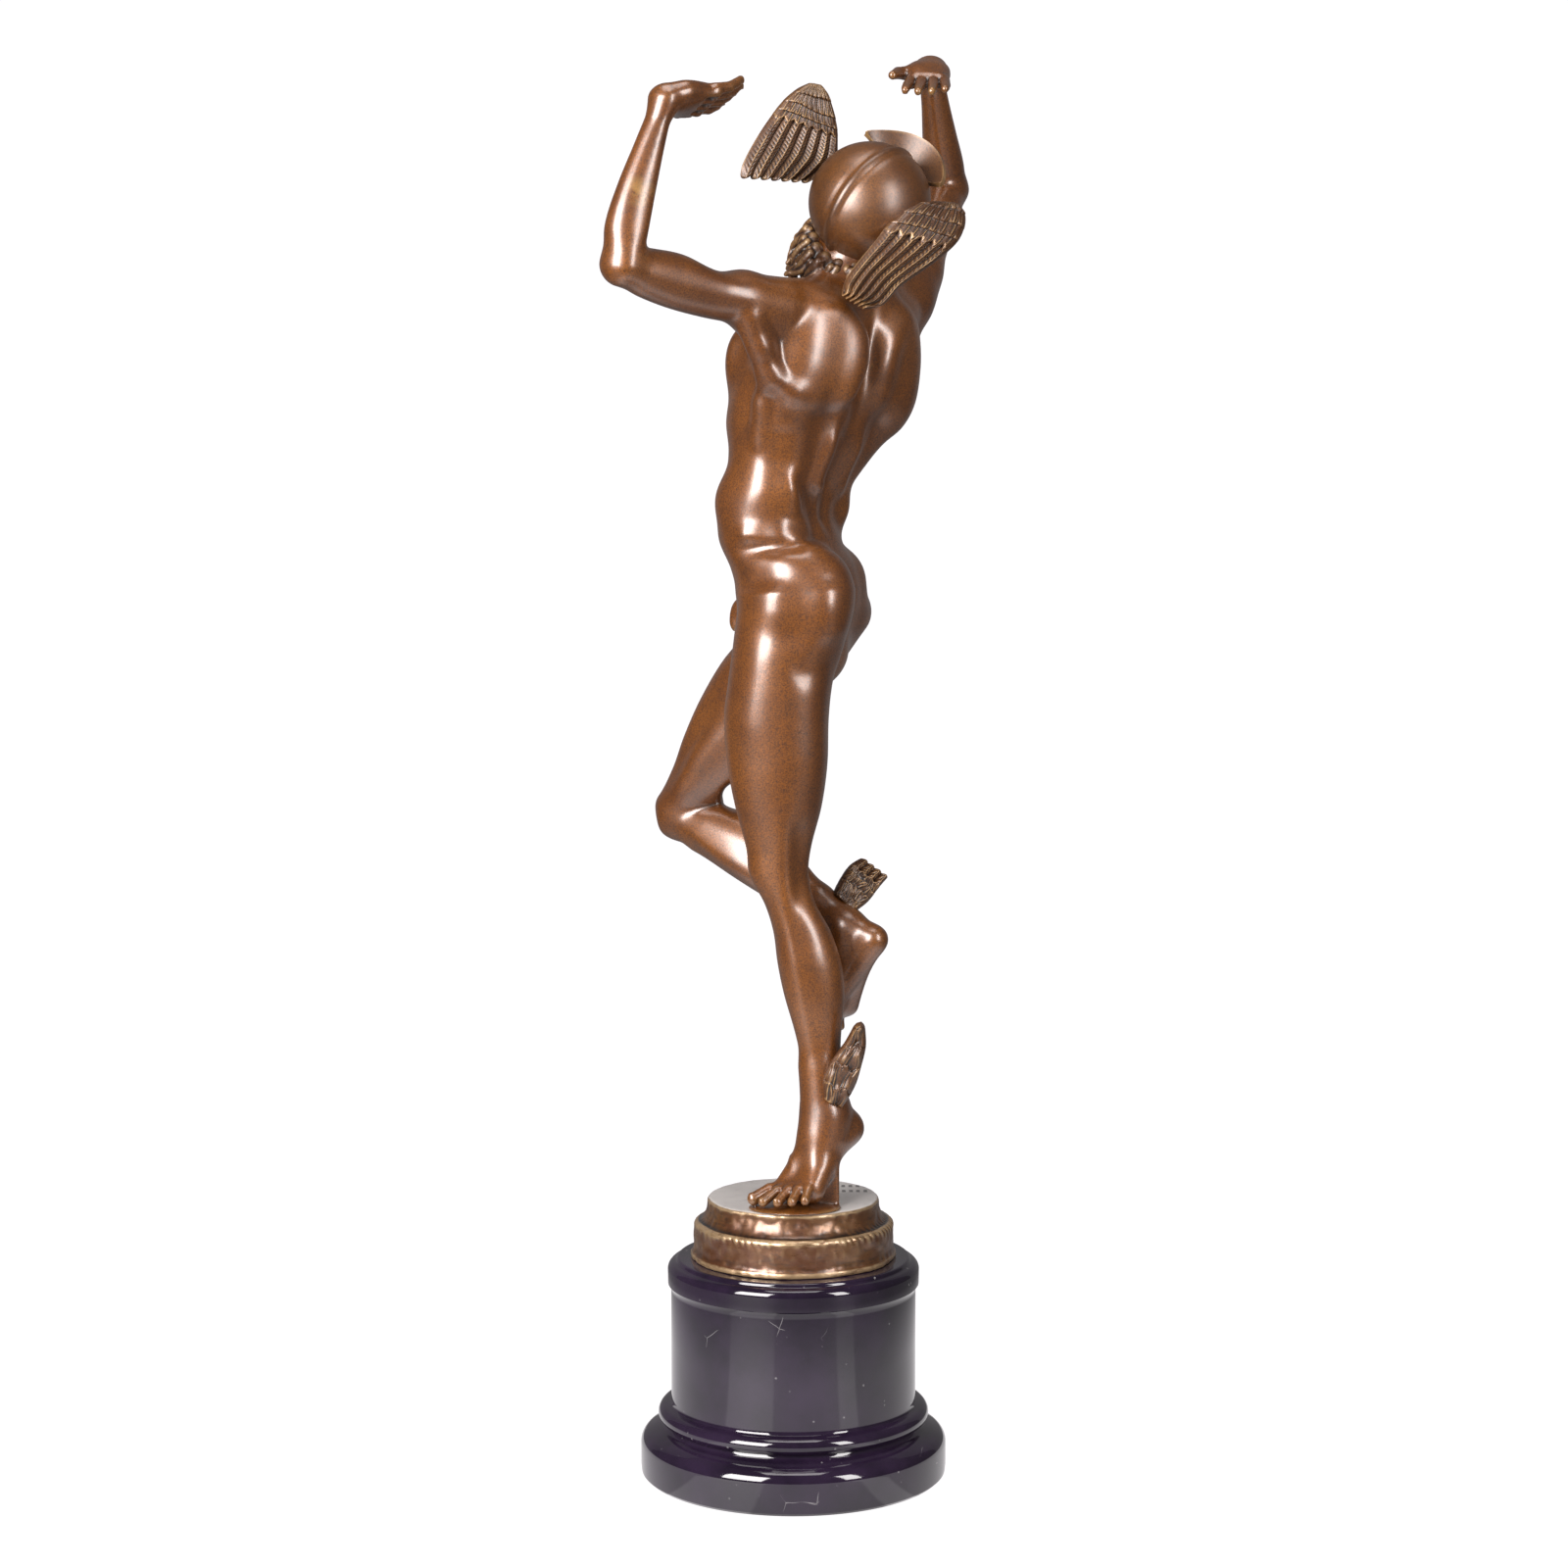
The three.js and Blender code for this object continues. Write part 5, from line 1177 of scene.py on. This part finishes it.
def studio():
    """A white table before a white backdrop, soft boxes in front on both sides, and the camera."""
    for name, wide, spot, tilt in (("table", (1.5, 1.6), (0, 0.25, -0.0004), 0),
                                   ("backdrop", (6, 4), (0, 2.6, 1.2), 90)):
        sheet = made_by(bpy.ops.mesh.primitive_plane_add, size=1, location=spot,
                        rotation=(math.radians(tilt), 0, 0))
        sheet.name = name
        sheet.scale = (*wide, 1)
        s = Shader("white_" + name)
        glow = 0.15
        if name == "table":
            # Paler sheets on the table before the socle, to its left and right, which its
            # polished drum mirrors, and less light farther off
            spot = s.node("ShaderNodeMapping", {"Vector": s.place, "Scale": (*wide, 1),
                                                "Location": spot}).outputs[0]
            axes = s.node("ShaderNodeSeparateXYZ", {"Vector": spot}).outputs
            turn = s.calc("ARCTAN2", axes["X"], s.times(axes["Y"], -1.0))
            left, right = (s.times(s.span(turn, low, low + 0.03), s.span(turn, high, high - 0.03))
                           for low, high in ((-0.99, -0.27), (0.63, 0.94)))
            away = s.node("ShaderNodeVectorMath", {0: spot}, operation="LENGTH").outputs["Value"]
            glow = s.times(s.plus(s.times(s.plus(left, right), 0.45), 0.75),
                           s.span(away, 0.24, 0.4, 1, 0.1))
        path = s.node("ShaderNodeLightPath").outputs
        glow = s.node("ShaderNodeMix", {0: path["Is Glossy Ray"], 2: 0.12, 3: glow}).outputs[0]
        glow = s.node("ShaderNodeMix", {0: path["Is Camera Ray"], 2: glow, 3: 1.0}).outputs[0]
        sheet.data.materials.append(s.surface(Base_Color=(0.1, 0.1, 0.1), Roughness=0.7,
                                              Emission_Color=(1, 0.97, 0.99), Emission_Strength=glow))
    world = bpy.data.worlds.new("room")
    bpy.context.scene.world = world
    world.use_nodes = True
    tree = world.node_tree
    back = tree.nodes["Background"]
    back.inputs["Color"].default_value = (1, 0.97, 0.98, 1)
    light = tree.nodes.new("ShaderNodeLightPath")
    level = tree.nodes.new("ShaderNodeMapRange")
    level.inputs["To Min"].default_value = 0.08
    level.inputs["To Max"].default_value = 1.0
    tree.links.new(light.outputs["Is Camera Ray"], level.inputs["Value"])
    tree.links.new(level.outputs["Result"], back.inputs["Strength"])
    boxes = (
        ("left_box", -38, 1.35, 0.78, (0.8, 1.0), 44),
        ("right_box", 44, 1.35, 0.78, (0.32, 1.0), 13),
        ("top_box", 0, 0.25, 1.7, (0.8, 0.6), 6),
    )
    for name, turn, away, height, (wide, high), power in boxes:
        lamp = bpy.data.lights.new(name, "AREA")
        lamp.shape = "RECTANGLE"
        lamp.size, lamp.size_y = wide, high
        lamp.energy = power
        lamp.color = (1, 0.97, 0.96)
        holder = bpy.data.objects.new(name, lamp)
        bpy.context.collection.objects.link(holder)
        turn = math.radians(turn)
        holder.location = (away * math.sin(turn), -away * math.cos(turn), height)
        look = Vector((0, 0, 0.38)) - holder.location
        holder.rotation_euler = look.to_track_quat("-Z", "Y").to_euler()
        holder.visible_camera = False
    camera = bpy.data.objects.new("camera", bpy.data.cameras.new("camera"))
    bpy.context.collection.objects.link(camera)
    looks_down, sensor, lens_to_frame = 5.2, 36, 3176 / 1600
    camera.location = (-0.0043, -1.4, 0.444)
    camera.rotation_euler = (math.radians(90 - looks_down), 0, 0)
    camera.data.sensor_width = sensor
    camera.data.lens = lens_to_frame * sensor
    bpy.context.scene.camera = camera
    bpy.context.scene.view_settings.view_transform = "Standard"


studio()
deep, brass = (0.012, 0.004, 0.002), (0.6, 0.36, 0.1)
bronze = patinated_bronze("patinated_bronze", deep, (0.17, 0.05, 0.005), (0.26, 0.083, 0.009), brass,
                          0.2, 0.27)
helmet_bronze = patinated_bronze("satin_bronze", deep, (0.125, 0.039, 0.005), (0.21, 0.073, 0.009),
                                 brass, 0.2, 0.36, 0.75)
feathered = patinated_bronze("feathered_bronze", (0.01, 0.005, 0.003), (0.09, 0.032, 0.009),
                             (0.16, 0.062, 0.016), (0.6, 0.36, 0.15), 0.55, 0.36, 0.5)
# The skins' grid step, and where the body's skin is rubbed down further: the raised ankle, two
# places of the back, and the standing foot's sides
step = 0.15
soft = ((ANKLE_R + vec(1.2, -0.5, -0.2), 3.6), (CHEST.at(7, -4.6, -2), 2),
        (WAIST.at(5, -3.8, -2.4), 2.2), (vec(0.3, -5.6, 4.8), 1.5), (vec(3.2, -6.2, 4.5), 1.5))
cast(skinned("body", body_clay(), step, 190000, 2, soft), "figure_body", bronze)
cast(skinned("hair", hair_clay(), step * 0.6, 120000, 1), "figure_hair", feathered)
helmet(helmet_bronze, feathered)
wings(feathered)
bronze_base(brassy_bronze())
marble_socle(black_marble())
